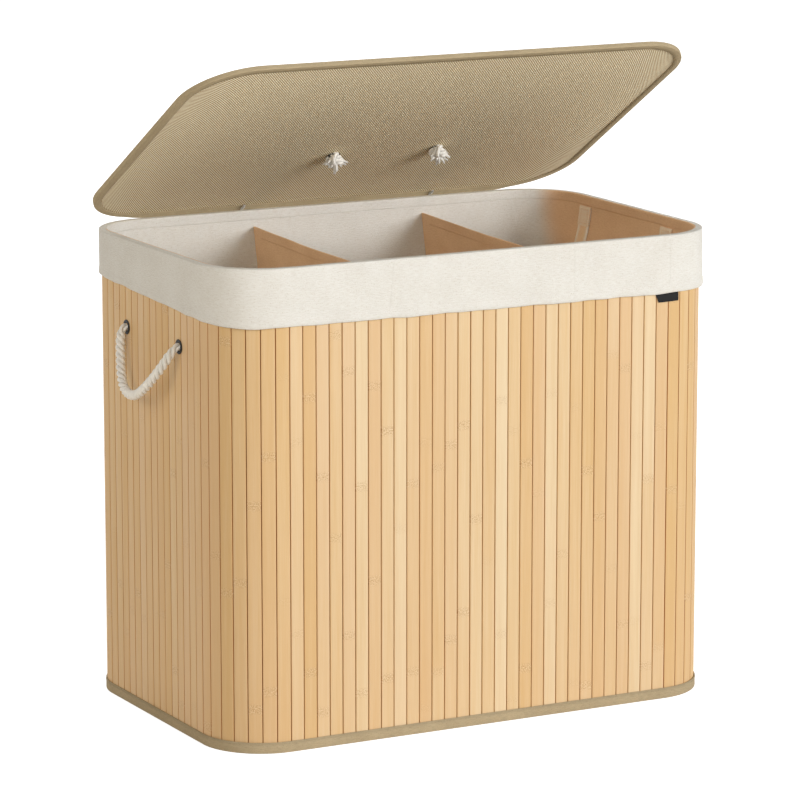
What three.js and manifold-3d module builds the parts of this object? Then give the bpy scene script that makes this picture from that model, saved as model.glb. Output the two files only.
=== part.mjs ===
// A laundry hamper. Bamboo slats stand round a rounded rectangle, a cotton liner with three
// compartments folds over the rim, and a flat bamboo lid is tied along the back.
// Millimetres, +Z up. The origin is the middle of the base's underside, and the front faces -Y.
import * as THREE from 'three';
import { mergeVertices } from 'three/addons/utils/BufferGeometryUtils.js';
import Module from 'manifold-3d';

const wasm = await Module();
wasm.setup();

// Body, measured over the faces of the slats, with the liner's fold at the rim
const bodyWidth = 650;
const bodyDepth = 406;
const rimHeight = 562;
const cornerRadius = 76;

// Gap between pieces that touch, and how far a cutter passes the faces that it cuts
const seatGap = 0.3;
const cutOverrun = 5;

// Bamboo slats side by side, glued on a cloth
const slatPitch = 16.6;
const slatThickness = 3;
const slatJointThickness = 0.8;
const grooveWidth = 1.8;
const grooveFloorWidth = 0.6;
const clothThickness = 0.8;

// Tape folded over the top and bottom edges, and the strip over the join of the mat's ends
const tapeThickness = 0.8;
const tapeWidth = 13;
const seamTapeWidth = 30;
const seamTapeFromCorner = 40;

// Loose board on the base cloth
const boardThickness = 4;

// Liner: its cuff hangs outside, its bag is drawn in to clear the knots inside the wall
const cuffThickness = 2;
const cuffHeight = 66;
const cuffInnerHeight = 12;
const linerThickness = 1;
const linerTaperHeight = 80;
const taperSteps = 5;
const knotClearance = 1;

// Cloth dividers, which meet the back wall a little further right than the front wall
const dividerFromMiddle = 116;
const dividerBackShift = 18;
const dividerThickness = 1.2;
const dividerBelowRim = 20;

// Webbing handles of the liner, on the inside of its short walls
const strapWidth = 25;
const strapThickness = 1.5;
const strapFromCorner = 31;
const strapMiddle = 9;
const strapBelowRim = 13;
const strapBendBelowTaper = 4;
const strapOverlap = 1;

// Rope handles on the short walls and on the lid
const ropeDiameter = 9;
const handleHoleFromMiddle = 72;
const handleBelowRim = 105;
const swingAxisFromFace = 8;
const knotDiameter = 20;
const knotThickness = 14;
const knotFlatteningShare = 0.85;
const knotTailLength = 15;
const knotTailSpread = 2;

// Eyelets
const eyeletClearance = 0.4;
const eyeletWall = 0.8;
const eyeletFlange = 3;
const flangeThickness = 0.8;

// Lid
const lidDepth = 420;
const lidTapeWidth = 10;
const lidSlatThickness = 2.5;
const lidOpenDegrees = 31;
const hingeFromCuff = 5.5;
const hingeAboveRim = 0.5;
const lidHandleHoleFromMiddle = 70;
const lidHandleMiddle = 24;
const lidHandleFromHinge = 147;

// Cord ties that hinge the lid
const tieDiameter = 3;
const tieFromMiddleShare = 0.2;
const tieMiddle = 21;
const tieHoleBelowRim = 78;
const tieKnotDiameter = 10;
const tieKnotThickness = 7;
const tieEndFromHinge = 11.8;
const tieEndThickness = 4;
const tieEndLength = 7;
const tieEndWidth = 10;

// Bare tag sewn under the cuff
const tagWidth = 30;
const tagHeight = 16;
const tagShown = 10;
const tagThickness = 0.7;
const tagBeforeCorner = 18;

// Sides and steps of round forms
const ropeSides = 10;
const tieSides = 8;
const cordStepDiameters = 2;
const eyeletSides = 16;
const knotSides = 10;
const knotRings = 6;
const bendSteps = 10;

// Left rope handle at rest: out from the wall's face, along it towards the back, and down from its holes
const sideHandleRoute = [
  [8, 72, 0], [11, 71.4, 3.2], [12.2, 70.2, 9], [12.6, 68, 17], [14.2, 62, 32], [17, 52.5, 47],
  [20.5, 38, 60], [24, 18, 66.5], [27, -7, 64.5], [28.5, -30, 56], [26, -52, 39.5], [21, -66, 22.5],
  [15, -70.6, 9.5], [11.6, -71.7, 3.4], [8, -72, 0],
];
// Lid's rope handle, fallen towards the hinge: out from the slats, along the lid, and back from its holes
const lidHandleRoute = [
  [8, 70, 0], [11, 69.7, 3.5], [12, 68.4, 10], [11, 65.2, 21], [8.8, 59.5, 34], [6.8, 50.5, 47],
  [5.6, 37.5, 58], [5.1, 20, 65], [5, 0, 67.5], [5.1, -20, 65], [5.6, -37.5, 58], [6.8, -50.5, 47],
  [8.8, -59.5, 34], [11, -65.2, 21], [12, -68.4, 10], [11, -69.7, 3.5], [8, -70, 0],
];
// Hinge tie: out from the back wall's face and up from its hole, past the cuff and under the lid's edge
const tieRoute = [
  [-7, 0], [0, 0], [4, 0.6], [6.6, 3.6], [7.2, 9], [6.4, 18], [5.6, 30], [5.5, 50], [5.5, 70],
  [5.8, 75.5], [5.4, 78.5], [3.4, 79.8], [0.4, 80.6], [-1.2, 81.8],
];

// Faces of the wall's layers, as offsets out from the slats' faces
const clothOuter = -slatThickness - seatGap;
const clothInner = clothOuter - clothThickness;
const tapeOuter = seatGap + tapeThickness;
const tapeInner = clothInner - seatGap - tapeThickness;
const cuffOuter = tapeOuter + seatGap + cuffThickness;
const cuffInner = tapeInner - seatGap - cuffThickness;
const eyeletInner = clothInner - seatGap - flangeThickness;
const linerTopOuter = tapeInner - seatGap - linerThickness;
const linerDrawnOuter = eyeletInner - seatGap - knotThickness - knotClearance;

// Heights of the wall and of the liner
const tapeTop = rimHeight - cuffThickness - seatGap;
const wallTop = tapeTop - tapeThickness - seatGap;
const wallBottom = tapeThickness + seatGap;
const boardBottom = tapeThickness + seatGap;
const linerFloorBottom = boardBottom + boardThickness + seatGap;
const linerWallBottom = linerFloorBottom + linerThickness + seatGap;
const linerWallTop = rimHeight - cuffInnerHeight - seatGap;
const taperEnd = linerWallTop - linerTaperHeight;
const handleHeight = rimHeight - handleBelowRim;
const tieHoleHeight = rimHeight - tieHoleBelowRim;

// Sizes that the slats and ropes share out
const grooveDepth = slatThickness - slatJointThickness;
const halfFlatX = bodyWidth / 2 - cornerRadius;
const halfFlatY = bodyDepth / 2 - cornerRadius;
const strapFromMiddle = halfFlatY - strapFromCorner;
const tieFromMiddle = bodyWidth * tieFromMiddleShare;
const cornerLength = cornerRadius * Math.PI / 2;
const cornerSlats = Math.round(cornerLength / slatPitch);
const ropeRadius = ropeDiameter / 2;
const tieRadius = tieDiameter / 2;
const stubEnd = swingAxisFromFace - ropeRadius - seatGap;

// Layers of the lid, as heights over its underside
const lidWidth = bodyWidth + 2 * cuffOuter;
const lidRadius = cornerRadius + cuffOuter;
const lidPanelInset = tapeThickness + seatGap;
const lidClothBottom = tapeThickness + seatGap;
const lidSlatBottom = lidClothBottom + clothThickness + seatGap;
const lidSlatTop = lidSlatBottom + lidSlatThickness;
const lidThickness = lidSlatTop + seatGap + tapeThickness;
const hingeY = bodyDepth / 2 + cuffOuter + hingeFromCuff;
const hingeZ = rimHeight + hingeAboveRim;

// Finishes
const bamboo = { color: 0xe3c28c, roughness: 0.55, metalness: 0 };
const cotton = { color: 0xe9e4d8, roughness: 0.95, metalness: 0 };
const dividerCotton = { color: 0xc9ab82, roughness: 0.95, metalness: 0 };
const khakiTape = { color: 0xa39a7d, roughness: 0.9, metalness: 0 };
const khakiCloth = { color: 0xb9a27b, roughness: 0.9, metalness: 0 };
const rope = { color: 0xece3d0, roughness: 0.95, metalness: 0 };
const blackMetal = { color: 0x1d1b1a, roughness: 0.4, metalness: 0.7 };
const blackRibbon = { color: 0x18181a, roughness: 0.8, metalness: 0 };
const board = { color: 0xb08d62, roughness: 0.85, metalness: 0 };

const hamper = new THREE.Group();
const lid = new THREE.Group();
lid.position.set(0, hingeY, hingeZ);
lid.rotation.x = -THREE.MathUtils.degToRad(lidOpenDegrees);
hamper.add(lid);

// One named piece with its own finish
function addPiece(name, geometry, finish, parent = hamper) {
  const mesh = new THREE.Mesh(geometry, new THREE.MeshStandardMaterial(finish));
  mesh.name = name;
  parent.add(mesh);
}

// The geometry with its shared vertices merged
function merged(geometry) {
  const bare = geometry.clone();
  bare.deleteAttribute('normal');
  bare.deleteAttribute('uv');
  return mergeVertices(bare);
}

function toSolid(geometry) {
  const closed = merged(geometry);
  return new wasm.Manifold(new wasm.Mesh({
    numProp: 3,
    vertProperties: new Float32Array(closed.attributes.position.array),
    triVerts: new Uint32Array(closed.index.array),
  }));
}

function toGeometry(solid) {
  const mesh = solid.getMesh();
  const geometry = new THREE.BufferGeometry();
  geometry.setAttribute('position', new THREE.BufferAttribute(mesh.vertProperties, 3));
  geometry.setIndex(new THREE.BufferAttribute(mesh.triVerts, 1));
  return geometry;
}

function joined(...geometries) {
  return toGeometry(geometries.map(toSolid).reduce((whole, next) => whole.add(next)));
}

function cut(geometry, cutters) {
  return toGeometry(cutters.map(toSolid).reduce((whole, next) => whole.subtract(next), toSolid(geometry)));
}

// Points of a rounded rectangle, anticlockwise, with as many chords in a corner as it has slats
function roundedRectangle(width, depth, radius) {
  const points = [];
  const corners = [[1, 1], [-1, 1], [-1, -1], [1, -1]];
  corners.forEach(([right, back], quarter) => {
    for (let step = 0; step <= cornerSlats; step += 1) {
      const angle = (quarter + step / cornerSlats) * Math.PI / 2;
      points.push(new THREE.Vector2(
        right * (width / 2 - radius) + radius * Math.cos(angle),
        back * (depth / 2 - radius) + radius * Math.sin(angle),
      ));
    }
  });
  return points;
}

// A ring round a rounded rectangle. Its section is a list of [offset, height], anticlockwise
// with the offset to the right.
function ring(section, width = bodyWidth, depth = bodyDepth, radius = cornerRadius) {
  const positions = [];
  const index = [];
  const across = roundedRectangle(width, depth, radius).length;
  section.forEach(([offset, height], row) => {
    const outline = roundedRectangle(width + 2 * offset, depth + 2 * offset, radius + offset);
    outline.forEach((point, column) => {
      positions.push(point.x, point.y, height);
      const nextColumn = (column + 1) % across;
      const here = row * across;
      const above = ((row + 1) % section.length) * across;
      index.push(here + column, here + nextColumn, above + nextColumn);
      index.push(here + column, above + nextColumn, above + column);
    });
  });
  const geometry = new THREE.BufferGeometry();
  geometry.setAttribute('position', new THREE.Float32BufferAttribute(positions, 3));
  geometry.setIndex(index);
  return geometry;
}

function bandSection(inner, outer, low, high) {
  return [[outer, low], [outer, high], [inner, high], [inner, low]];
}

// An upright block over an outline
function upright(points, low, high) {
  const geometry = new THREE.ExtrudeGeometry(new THREE.Shape(points), {
    depth: high - low,
    bevelEnabled: false,
  });
  return geometry.translate(0, 0, low);
}

// A block over an outline of [y, z] points, between two places along X
function acrossX(points, from, to) {
  return upright(points, from, to).rotateX(Math.PI / 2).rotateZ(Math.PI / 2);
}

// A flat panel with the wall's outline, drawn in or out by an offset
function panel(offset, low, high, width = bodyWidth, depth = bodyDepth, radius = cornerRadius) {
  return upright(roundedRectangle(width + 2 * offset, depth + 2 * offset, radius + offset), low, high);
}

// A form that lies along +Y, turned to stand out of the part at a place
function facing(geometry, normal, place) {
  const turn = new THREE.Quaternion().setFromUnitVectors(new THREE.Vector3(0, 1, 0), normal);
  return geometry.applyQuaternion(turn).translate(place.x, place.y, place.z);
}

// The wall's stretches in order: a flat side, then the round corner after it, four times
const sideNames = ['front', 'right', 'back', 'left'];
const cornerNames = ['front_right', 'back_right', 'back_left', 'front_left'];
const stretches = [];
sideNames.forEach((side, turns) => {
  const wide = turns % 2 === 0;
  const along = wide ? halfFlatX : halfFlatY;
  const out = wide ? halfFlatY : halfFlatX;
  const start = stretches.length ? stretches.at(-1).end : 0;
  const flatEnd = start + 2 * along;
  const shared = { turns, along, out };
  stretches.push({ ...shared, name: side, bent: false, start, end: flatEnd });
  stretches.push({
    ...shared, name: `${cornerNames[turns]}_corner`, bent: true, start: flatEnd, end: flatEnd + cornerLength,
  });
});

// The point at a distance round the wall and an offset out from the slats' faces
function wallPoint(distance, offset) {
  const stretch = stretches.find(({ end }) => distance <= end) ?? stretches.at(-1);
  const run = distance - stretch.start;
  const angle = stretch.bent ? (run / cornerLength - 1) * Math.PI / 2 : -Math.PI / 2;
  const reach = cornerRadius + offset;
  const x = (stretch.bent ? stretch.along : run - stretch.along) + reach * Math.cos(angle);
  const y = -stretch.out + reach * Math.sin(angle);
  return new THREE.Vector2(x, y).rotateAround(new THREE.Vector2(), stretch.turns * Math.PI / 2);
}

// Slats side by side, joined behind their grooves by the glued cloth
function slatMat({ start, end, bent }) {
  const slats = Math.round((end - start) / slatPitch);
  const pitch = (end - start) / slats;
  const points = [];
  for (let slat = 0; slat < slats; slat += 1) {
    const left = start + slat * pitch;
    const right = left + pitch;
    if (slat > 0) points.push(wallPoint(left + grooveFloorWidth / 2, -grooveDepth));
    points.push(wallPoint(left + grooveWidth / 2, 0), wallPoint(right - grooveWidth / 2, 0));
    if (slat < slats - 1) points.push(wallPoint(right - grooveFloorWidth / 2, -grooveDepth));
  }
  const innerSteps = bent ? slats : 1;
  for (let step = innerSteps; step >= 0; step -= 1) {
    const distance = start + (end - start) * step / innerSteps;
    const inside = THREE.MathUtils.clamp(distance, start + seatGap / 2, end - seatGap / 2);
    points.push(wallPoint(inside, -slatThickness));
  }
  return upright(points, wallBottom, wallTop);
}

// Places and directions of the holes for ropes and ties
const alongX = new THREE.Vector3(1, 0, 0);
const alongY = new THREE.Vector3(0, 1, 0);
const alongZ = new THREE.Vector3(0, 0, 1);
const handleHoles = [];
[['left', -1], ['right', 1]].forEach(([side, sign]) => {
  [['front', -1], ['back', 1]].forEach(([end, way]) => {
    handleHoles.push({
      side,
      end,
      normal: alongX.clone().multiplyScalar(sign),
      place: new THREE.Vector3(sign * bodyWidth / 2, way * handleHoleFromMiddle, handleHeight),
    });
  });
});
const tieHoles = [['left', -1], ['right', 1]].map(([side, sign]) => ({
  side,
  normal: alongY,
  place: new THREE.Vector3(tieMiddle + sign * tieFromMiddle, bodyDepth / 2, tieHoleHeight),
}));
const lidHoles = [['left', -1], ['right', 1]].map(([side, sign]) => ({
  side,
  normal: alongZ,
  place: new THREE.Vector3(lidHandleMiddle + sign * lidHandleHoleFromMiddle, -lidHandleFromHinge, 0),
}));

// A round cutter through a wall or the lid, from one height along its normal to another
function holeCutter({ normal, place }, cordRadius, from, to) {
  const radius = cordRadius + eyeletClearance + eyeletWall + seatGap;
  const rod = new THREE.CylinderGeometry(radius, radius, to - from + 2 * cutOverrun, eyeletSides);
  return facing(rod.translate(0, (from + to) / 2, 0), normal, place);
}

// A rolled eyelet with a flange on each face
function eyelet({ normal, place }, cordRadius, inner, outer) {
  const bore = cordRadius + eyeletClearance;
  const barrel = bore + eyeletWall;
  const flange = barrel + eyeletFlange;
  const profile = [
    [bore, inner], [flange, inner], [flange, inner + flangeThickness], [barrel, inner + flangeThickness],
    [barrel, outer - flangeThickness], [flange, outer - flangeThickness], [flange, outer], [bore, outer],
    [bore, inner],
  ].map(([radius, height]) => new THREE.Vector2(radius, height));
  return facing(merged(new THREE.LatheGeometry(profile, eyeletSides)), normal, place);
}

// A tube of cord along points
function cordTube(points, diameter, sides) {
  const path = new THREE.CatmullRomCurve3(points);
  const section = new THREE.Shape();
  section.setFromPoints(Array.from({ length: sides }, (_, side) => {
    const angle = side / sides * 2 * Math.PI;
    return new THREE.Vector2(diameter / 2 * Math.cos(angle), diameter / 2 * Math.sin(angle));
  }));
  return merged(new THREE.ExtrudeGeometry(section, {
    steps: Math.round(path.getLength() / (cordStepDiameters * diameter)),
    extrudePath: path,
    bevelEnabled: false,
  }));
}

// A hanging rope loop with round ends, which turn in its holes
function handleLoop(points) {
  const ends = [points[0], points.at(-1)].map((end) => (
    new THREE.SphereGeometry(ropeRadius, ropeSides, knotRings).translate(end.x, end.y, end.z)
  ));
  return joined(cordTube(points, ropeDiameter, ropeSides), ...ends);
}

// The knot behind an eyelet, with its tail and the stub of rope that comes through
function handleKnot({ normal, place }, inner, outer) {
  const middle = inner - seatGap - knotThickness / 2;
  const knot = new THREE.SphereGeometry(1, knotSides, knotRings)
    .scale(knotDiameter / 2, knotThickness / 2, knotDiameter / 2 * knotFlatteningShare)
    .translate(0, middle, 0);
  const stub = new THREE.CylinderGeometry(ropeRadius, ropeRadius, outer - middle, ropeSides)
    .translate(0, (outer + middle) / 2, 0);
  const tail = new THREE.CylinderGeometry(ropeRadius - knotTailSpread / 2, ropeRadius + knotTailSpread / 2,
    knotTailLength, ropeSides).rotateX(-Math.PI / 2).translate(0, middle, knotTailLength / 2);
  return facing(joined(knot, stub, tail), normal, place);
}

// Outer face of the liner's bag: close to the wall under the cuff, then drawn in by an easy curve,
// which runs straight from one of its levels to the next
function linerOuter(height) {
  const down = THREE.MathUtils.clamp((linerWallTop - height) / linerTaperHeight, 0, 1) * taperSteps;
  const level = Math.min(Math.floor(down), taperSteps - 1);
  const eased = (step) => THREE.MathUtils.smoothstep(step / taperSteps, 0, 1);
  const drawn = THREE.MathUtils.lerp(eased(level), eased(level + 1), down - level);
  return THREE.MathUtils.lerp(linerTopOuter, linerDrawnOuter, drawn);
}

// Heights down the liner's bag, from one level to its foot
function linerHeights(top, foot) {
  const steps = Array.from({ length: taperSteps + 1 }, (_, step) => (
    linerWallTop - linerTaperHeight * step / taperSteps
  ));
  return [top, ...steps.filter((height) => height < top && height > foot), foot];
}

function addWall() {
  const sideCutters = (side, inner, outer) => handleHoles
    .filter((hole) => hole.side === side)
    .map((hole) => holeCutter(hole, ropeRadius, inner, outer));
  const backCutters = (inner, outer) => tieHoles.map((hole) => holeCutter(hole, tieRadius, inner, outer));
  stretches.forEach((stretch) => {
    const cutters = stretch.name === 'back'
      ? backCutters(-slatThickness, 0)
      : sideCutters(stretch.name, -slatThickness, 0);
    addPiece(`${stretch.name}_slats`, cut(slatMat(stretch), cutters), bamboo);
  });
  const cloth = ring(bandSection(clothInner, clothOuter, wallBottom, wallTop));
  const clothCutters = [
    ...sideCutters('left', clothInner, clothOuter),
    ...sideCutters('right', clothInner, clothOuter),
    ...backCutters(clothInner, clothOuter),
  ];
  addPiece('wall_cloth', cut(cloth, clothCutters), khakiCloth);
  const tapeLow = tapeWidth + seatGap;
  const tapeHigh = tapeTop - tapeWidth - seatGap;
  const seam = new THREE.BoxGeometry(seamTapeWidth, clothThickness, tapeHigh - tapeLow).translate(
    halfFlatX - seamTapeFromCorner,
    bodyDepth / 2 + clothInner - seatGap - clothThickness / 2,
    (tapeHigh + tapeLow) / 2,
  );
  addPiece('wall_seam_tape', seam, khakiTape);
}

function addBindings() {
  const top = [
    [tapeOuter, tapeTop - tapeWidth], [tapeOuter, tapeTop], [tapeInner, tapeTop],
    [tapeInner, tapeTop - tapeWidth], [tapeInner + tapeThickness, tapeTop - tapeWidth],
    [tapeInner + tapeThickness, tapeTop - tapeThickness], [tapeOuter - tapeThickness, tapeTop - tapeThickness],
    [tapeOuter - tapeThickness, tapeTop - tapeWidth],
  ];
  const bottom = top.map(([offset, height]) => [offset, tapeTop - height]).reverse();
  addPiece('top_binding', ring(top), khakiTape);
  addPiece('bottom_binding', ring(bottom), khakiTape);
}

function addBase() {
  addPiece('base_cloth', panel(tapeInner - seatGap, 0, clothThickness), khakiCloth);
  addPiece('base_board', panel(tapeInner - seatGap, boardBottom, boardBottom + boardThickness), board);
}

function addLiner() {
  const cuffBottom = rimHeight - cuffHeight;
  const innerBottom = rimHeight - cuffInnerHeight;
  const fold = cuffThickness * Math.SQRT1_2;
  const cuff = [
    [cuffOuter, cuffBottom], [cuffOuter, rimHeight - cuffThickness],
    [cuffOuter - cuffThickness + fold, rimHeight - cuffThickness + fold],
    [cuffOuter - cuffThickness, rimHeight], [cuffInner + cuffThickness, rimHeight],
    [cuffInner + cuffThickness - fold, rimHeight - cuffThickness + fold],
    [cuffInner, rimHeight - cuffThickness], [cuffInner, innerBottom], [cuffInner + cuffThickness, innerBottom],
    [cuffInner + cuffThickness, rimHeight - cuffThickness],
    [cuffOuter - cuffThickness, rimHeight - cuffThickness], [cuffOuter - cuffThickness, cuffBottom],
  ];
  addPiece('liner_cuff', ring(cuff), cotton);
  const heights = linerHeights(linerWallTop, linerWallBottom);
  const outside = heights.map((height) => [linerOuter(height), height]).reverse();
  const inside = heights.map((height) => [linerOuter(height) - linerThickness, height]);
  addPiece('liner_walls', ring([...outside, ...inside]), cotton);
  addPiece('liner_floor', panel(linerDrawnOuter, linerFloorBottom, linerFloorBottom + linerThickness), cotton);
}

function addDividers() {
  const heights = linerHeights(rimHeight - dividerBelowRim, linerWallBottom);
  const edge = heights.map((height) => (
    new THREE.Vector2(bodyDepth / 2 + linerOuter(height) - linerThickness - seatGap, height)
  ));
  const outline = [...edge, ...edge.map((point) => new THREE.Vector2(-point.x, point.y)).reverse()];
  const lean = new THREE.Matrix4().makeShear(0, 0, dividerBackShift / bodyDepth, 0, 0, 0);
  [['left', -1], ['right', 1]].forEach(([side, sign]) => {
    const middle = sign * dividerFromMiddle + dividerBackShift / 2;
    const sheet = acrossX(outline, -dividerThickness / 2, dividerThickness / 2).applyMatrix4(lean);
    addPiece(`divider_${side}`, sheet.translate(middle, 0, 0), dividerCotton);
  });
}

// A webbing handle hanging in a U against the short wall at +X
function strap() {
  const bendHeight = taperEnd - strapBendBelowTaper;
  const legFoot = bendHeight - strapOverlap;
  const heights = linerHeights(rimHeight - strapBelowRim, legFoot);
  const seat = (height) => bodyWidth / 2 + linerOuter(height) - linerThickness - seatGap;
  const wallSide = heights.map((height) => new THREE.Vector2(seat(height), height));
  const roomSide = heights.map((height) => new THREE.Vector2(seat(height) - strapThickness, height)).reverse();
  const leg = upright([...wallSide, ...roomSide], -strapWidth / 2, strapWidth / 2).rotateX(Math.PI / 2);
  const bend = new THREE.Shape();
  bend.absarc(strapMiddle, bendHeight, strapFromMiddle + strapWidth / 2, Math.PI, 2 * Math.PI, false);
  bend.absarc(strapMiddle, bendHeight, strapFromMiddle - strapWidth / 2, 2 * Math.PI, Math.PI, true);
  const points = bend.extractPoints(bendSteps).shape;
  const foot = seat(legFoot);
  return joined(
    leg.clone().translate(0, strapMiddle + strapFromMiddle, 0),
    leg.translate(0, strapMiddle - strapFromMiddle, 0),
    acrossX(points, foot - strapThickness, foot),
  );
}

function addStraps() {
  addPiece('liner_strap_right', strap(), cotton);
  addPiece('liner_strap_left', strap().rotateZ(Math.PI), cotton);
}

// The bare tag lies between the slats and the cuff, and shows below the cuff near the right corner
function addTag() {
  const start = 2 * halfFlatX - tagBeforeCorner;
  const stops = [start, 2 * halfFlatX, start + tagWidth];
  const inner = seatGap / 2;
  const outline = [
    ...stops.map((stop) => wallPoint(stop, inner + tagThickness)),
    ...stops.toReversed().map((stop) => wallPoint(stop, inner)),
  ];
  const low = rimHeight - cuffHeight - tagShown;
  addPiece('tag', upright(outline, low, low + tagHeight), blackRibbon);
}

function addSideHandles() {
  const outer = seatGap + flangeThickness;
  handleHoles.forEach((hole) => {
    const name = `${hole.side}_handle`;
    addPiece(`${name}_eyelet_${hole.end}`, eyelet(hole, ropeRadius, eyeletInner, outer), blackMetal);
    addPiece(`${name}_knot_${hole.end}`, handleKnot(hole, eyeletInner, stubEnd), rope);
  });
  [['left', -1], ['right', 1]].forEach(([side, sign]) => {
    const points = sideHandleRoute.map(([out, back, down]) => (
      new THREE.Vector3(sign * (bodyWidth / 2 + out), back, handleHeight - down)
    ));
    addPiece(`${side}_handle_rope`, handleLoop(points), rope);
  });
}

function addLidPanels() {
  const width = lidWidth - 2 * lidPanelInset;
  const slats = Math.round(width / slatPitch);
  const pitch = width / slats;
  const floor = lidSlatTop - (lidSlatThickness - slatJointThickness);
  const profile = [new THREE.Vector2(-width / 2, lidSlatBottom), new THREE.Vector2(width / 2, lidSlatBottom)];
  for (let slat = slats; slat > 0; slat -= 1) {
    const right = slat * pitch - width / 2;
    const left = right - pitch;
    if (slat < slats) profile.push(new THREE.Vector2(right - grooveFloorWidth / 2, floor));
    profile.push(new THREE.Vector2(right - grooveWidth / 2, lidSlatTop));
    profile.push(new THREE.Vector2(left + grooveWidth / 2, lidSlatTop));
    if (slat > 1) profile.push(new THREE.Vector2(left + grooveFloorWidth / 2, floor));
  }
  const mat = upright(profile, 0, lidDepth).rotateX(Math.PI / 2);
  const lidPanel = (low, high) => (
    panel(-lidPanelInset, low, high, lidWidth, lidDepth, lidRadius).translate(0, -lidDepth / 2, 0)
  );
  const outline = lidPanel(lidSlatBottom - cutOverrun, lidSlatTop + cutOverrun);
  const trimmed = toGeometry(toSolid(mat).intersect(toSolid(outline)));
  const cutters = lidHoles.map((hole) => holeCutter(hole, ropeRadius, 0, lidThickness));
  addPiece('lid_slats', cut(trimmed, cutters), bamboo, lid);
  const cloth = lidPanel(lidClothBottom, lidClothBottom + clothThickness);
  addPiece('lid_cloth', cut(cloth, cutters), khakiCloth, lid);
}

function addLidBinding() {
  const section = [
    [0, 0], [0, lidThickness], [-lidTapeWidth, lidThickness], [-lidTapeWidth, lidThickness - tapeThickness],
    [-tapeThickness, lidThickness - tapeThickness], [-tapeThickness, tapeThickness],
    [-lidTapeWidth, tapeThickness], [-lidTapeWidth, 0],
  ];
  const binding = ring(section, lidWidth, lidDepth, lidRadius).translate(0, -lidDepth / 2, 0);
  addPiece('lid_binding', binding, khakiTape, lid);
}

function addLidHandle() {
  lidHoles.forEach((hole) => {
    addPiece(`lid_handle_eyelet_${hole.side}`, eyelet(hole, ropeRadius, 0, lidThickness), blackMetal, lid);
    addPiece(`lid_handle_knot_${hole.side}`, handleKnot(hole, 0, lidSlatTop + stubEnd), rope, lid);
  });
  const points = lidHandleRoute.map(([out, along, back]) => (
    new THREE.Vector3(lidHandleMiddle + along, back - lidHandleFromHinge, lidSlatTop + out)
  ));
  addPiece('lid_handle_rope', handleLoop(points), rope, lid);
}

// A cord from its knot inside the back wall, up behind the cuff, to its end sewn under the lid's edge
function hingeTie({ place }) {
  const points = tieRoute.map(([out, up]) => (
    new THREE.Vector3(place.x, bodyDepth / 2 + out, tieHoleHeight + up)
  ));
  const slope = THREE.MathUtils.degToRad(lidOpenDegrees);
  const under = -(seatGap + tieEndThickness / 2);
  const sewn = new THREE.SphereGeometry(1, knotSides, knotRings)
    .scale(tieEndWidth / 2, tieEndLength / 2, tieEndThickness / 2)
    .translate(0, -tieEndFromHinge, under)
    .rotateX(-slope)
    .translate(place.x, hingeY, hingeZ);
  return joined(cordTube(points, tieDiameter, tieSides), sewn);
}

function addTies() {
  const outer = seatGap + flangeThickness;
  const knotMiddle = eyeletInner - seatGap - tieKnotThickness / 2;
  tieHoles.forEach((hole) => {
    addPiece(`tie_eyelet_${hole.side}`, eyelet(hole, tieRadius, eyeletInner, outer), blackMetal);
    const cord = hingeTie(hole);
    addPiece(`hinge_tie_${hole.side}`, cord, rope);
    const knot = new THREE.SphereGeometry(1, knotSides, knotRings)
      .scale(tieKnotDiameter / 2, tieKnotThickness / 2, tieKnotDiameter / 2)
      .translate(0, knotMiddle, 0);
    const room = holeCutter(hole, tieRadius - eyeletWall - eyeletClearance, eyeletInner, outer);
    addPiece(`tie_knot_${hole.side}`, cut(facing(knot, hole.normal, hole.place), [room]), rope);
  });
}

addWall();
addBindings();
addBase();
addLiner();
addDividers();
addStraps();
addTag();
addSideHandles();
addLidPanels();
addLidBinding();
addLidHandle();
addTies();

export default hamper;
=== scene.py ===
"""A laundry hamper: bamboo slats round a rounded rectangle, a cotton liner with three compartments that
folds over the rim, and a flat bamboo lid tied along the back. Metres, +Z up, the front faces -Y."""

import bpy
import numpy as np
from mathutils import Euler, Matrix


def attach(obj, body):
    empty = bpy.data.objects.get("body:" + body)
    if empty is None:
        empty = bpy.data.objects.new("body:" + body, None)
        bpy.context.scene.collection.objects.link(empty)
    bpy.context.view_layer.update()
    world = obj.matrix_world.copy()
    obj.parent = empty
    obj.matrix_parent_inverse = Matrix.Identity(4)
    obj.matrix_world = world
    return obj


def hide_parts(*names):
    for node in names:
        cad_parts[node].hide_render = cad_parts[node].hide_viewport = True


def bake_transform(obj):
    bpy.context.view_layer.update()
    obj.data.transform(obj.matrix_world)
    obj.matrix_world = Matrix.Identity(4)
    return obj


bl_info = {
    "name": "Laundry Hamper",
    "version": (1, 0, 0),
    "blender": (4, 5, 0),
    "location": "3D View > Sidebar > Hamper",
    "description": "Builds a bamboo laundry hamper with a cotton liner and a hinged lid",
    "category": "Add Mesh",
}

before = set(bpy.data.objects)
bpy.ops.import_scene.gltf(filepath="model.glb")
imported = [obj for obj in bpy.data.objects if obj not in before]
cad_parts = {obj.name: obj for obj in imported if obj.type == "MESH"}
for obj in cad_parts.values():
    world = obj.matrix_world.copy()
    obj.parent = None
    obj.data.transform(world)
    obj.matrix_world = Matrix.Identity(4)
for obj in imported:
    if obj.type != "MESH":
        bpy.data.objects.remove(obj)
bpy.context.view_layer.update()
MM = 0.001
PATTERN = "pattern"
LEFT_AND_RIGHT = (("left", -1), ("right", 1))
FRONT_AND_BACK = (("front", -1), ("back", 1))

# The mat's inner face and the outer face of the tape on it, out from the slats' faces
MAT_BACK, TRIM_FACE, TAPE_THICK = -5.2 * MM, 1.1 * MM, 0.8 * MM
# Holes of the side handles: how far they stand from the middle, and how far under the rim
HANDLE_ASIDE, HANDLE_DROP = 72 * MM, 105 * MM
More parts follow.
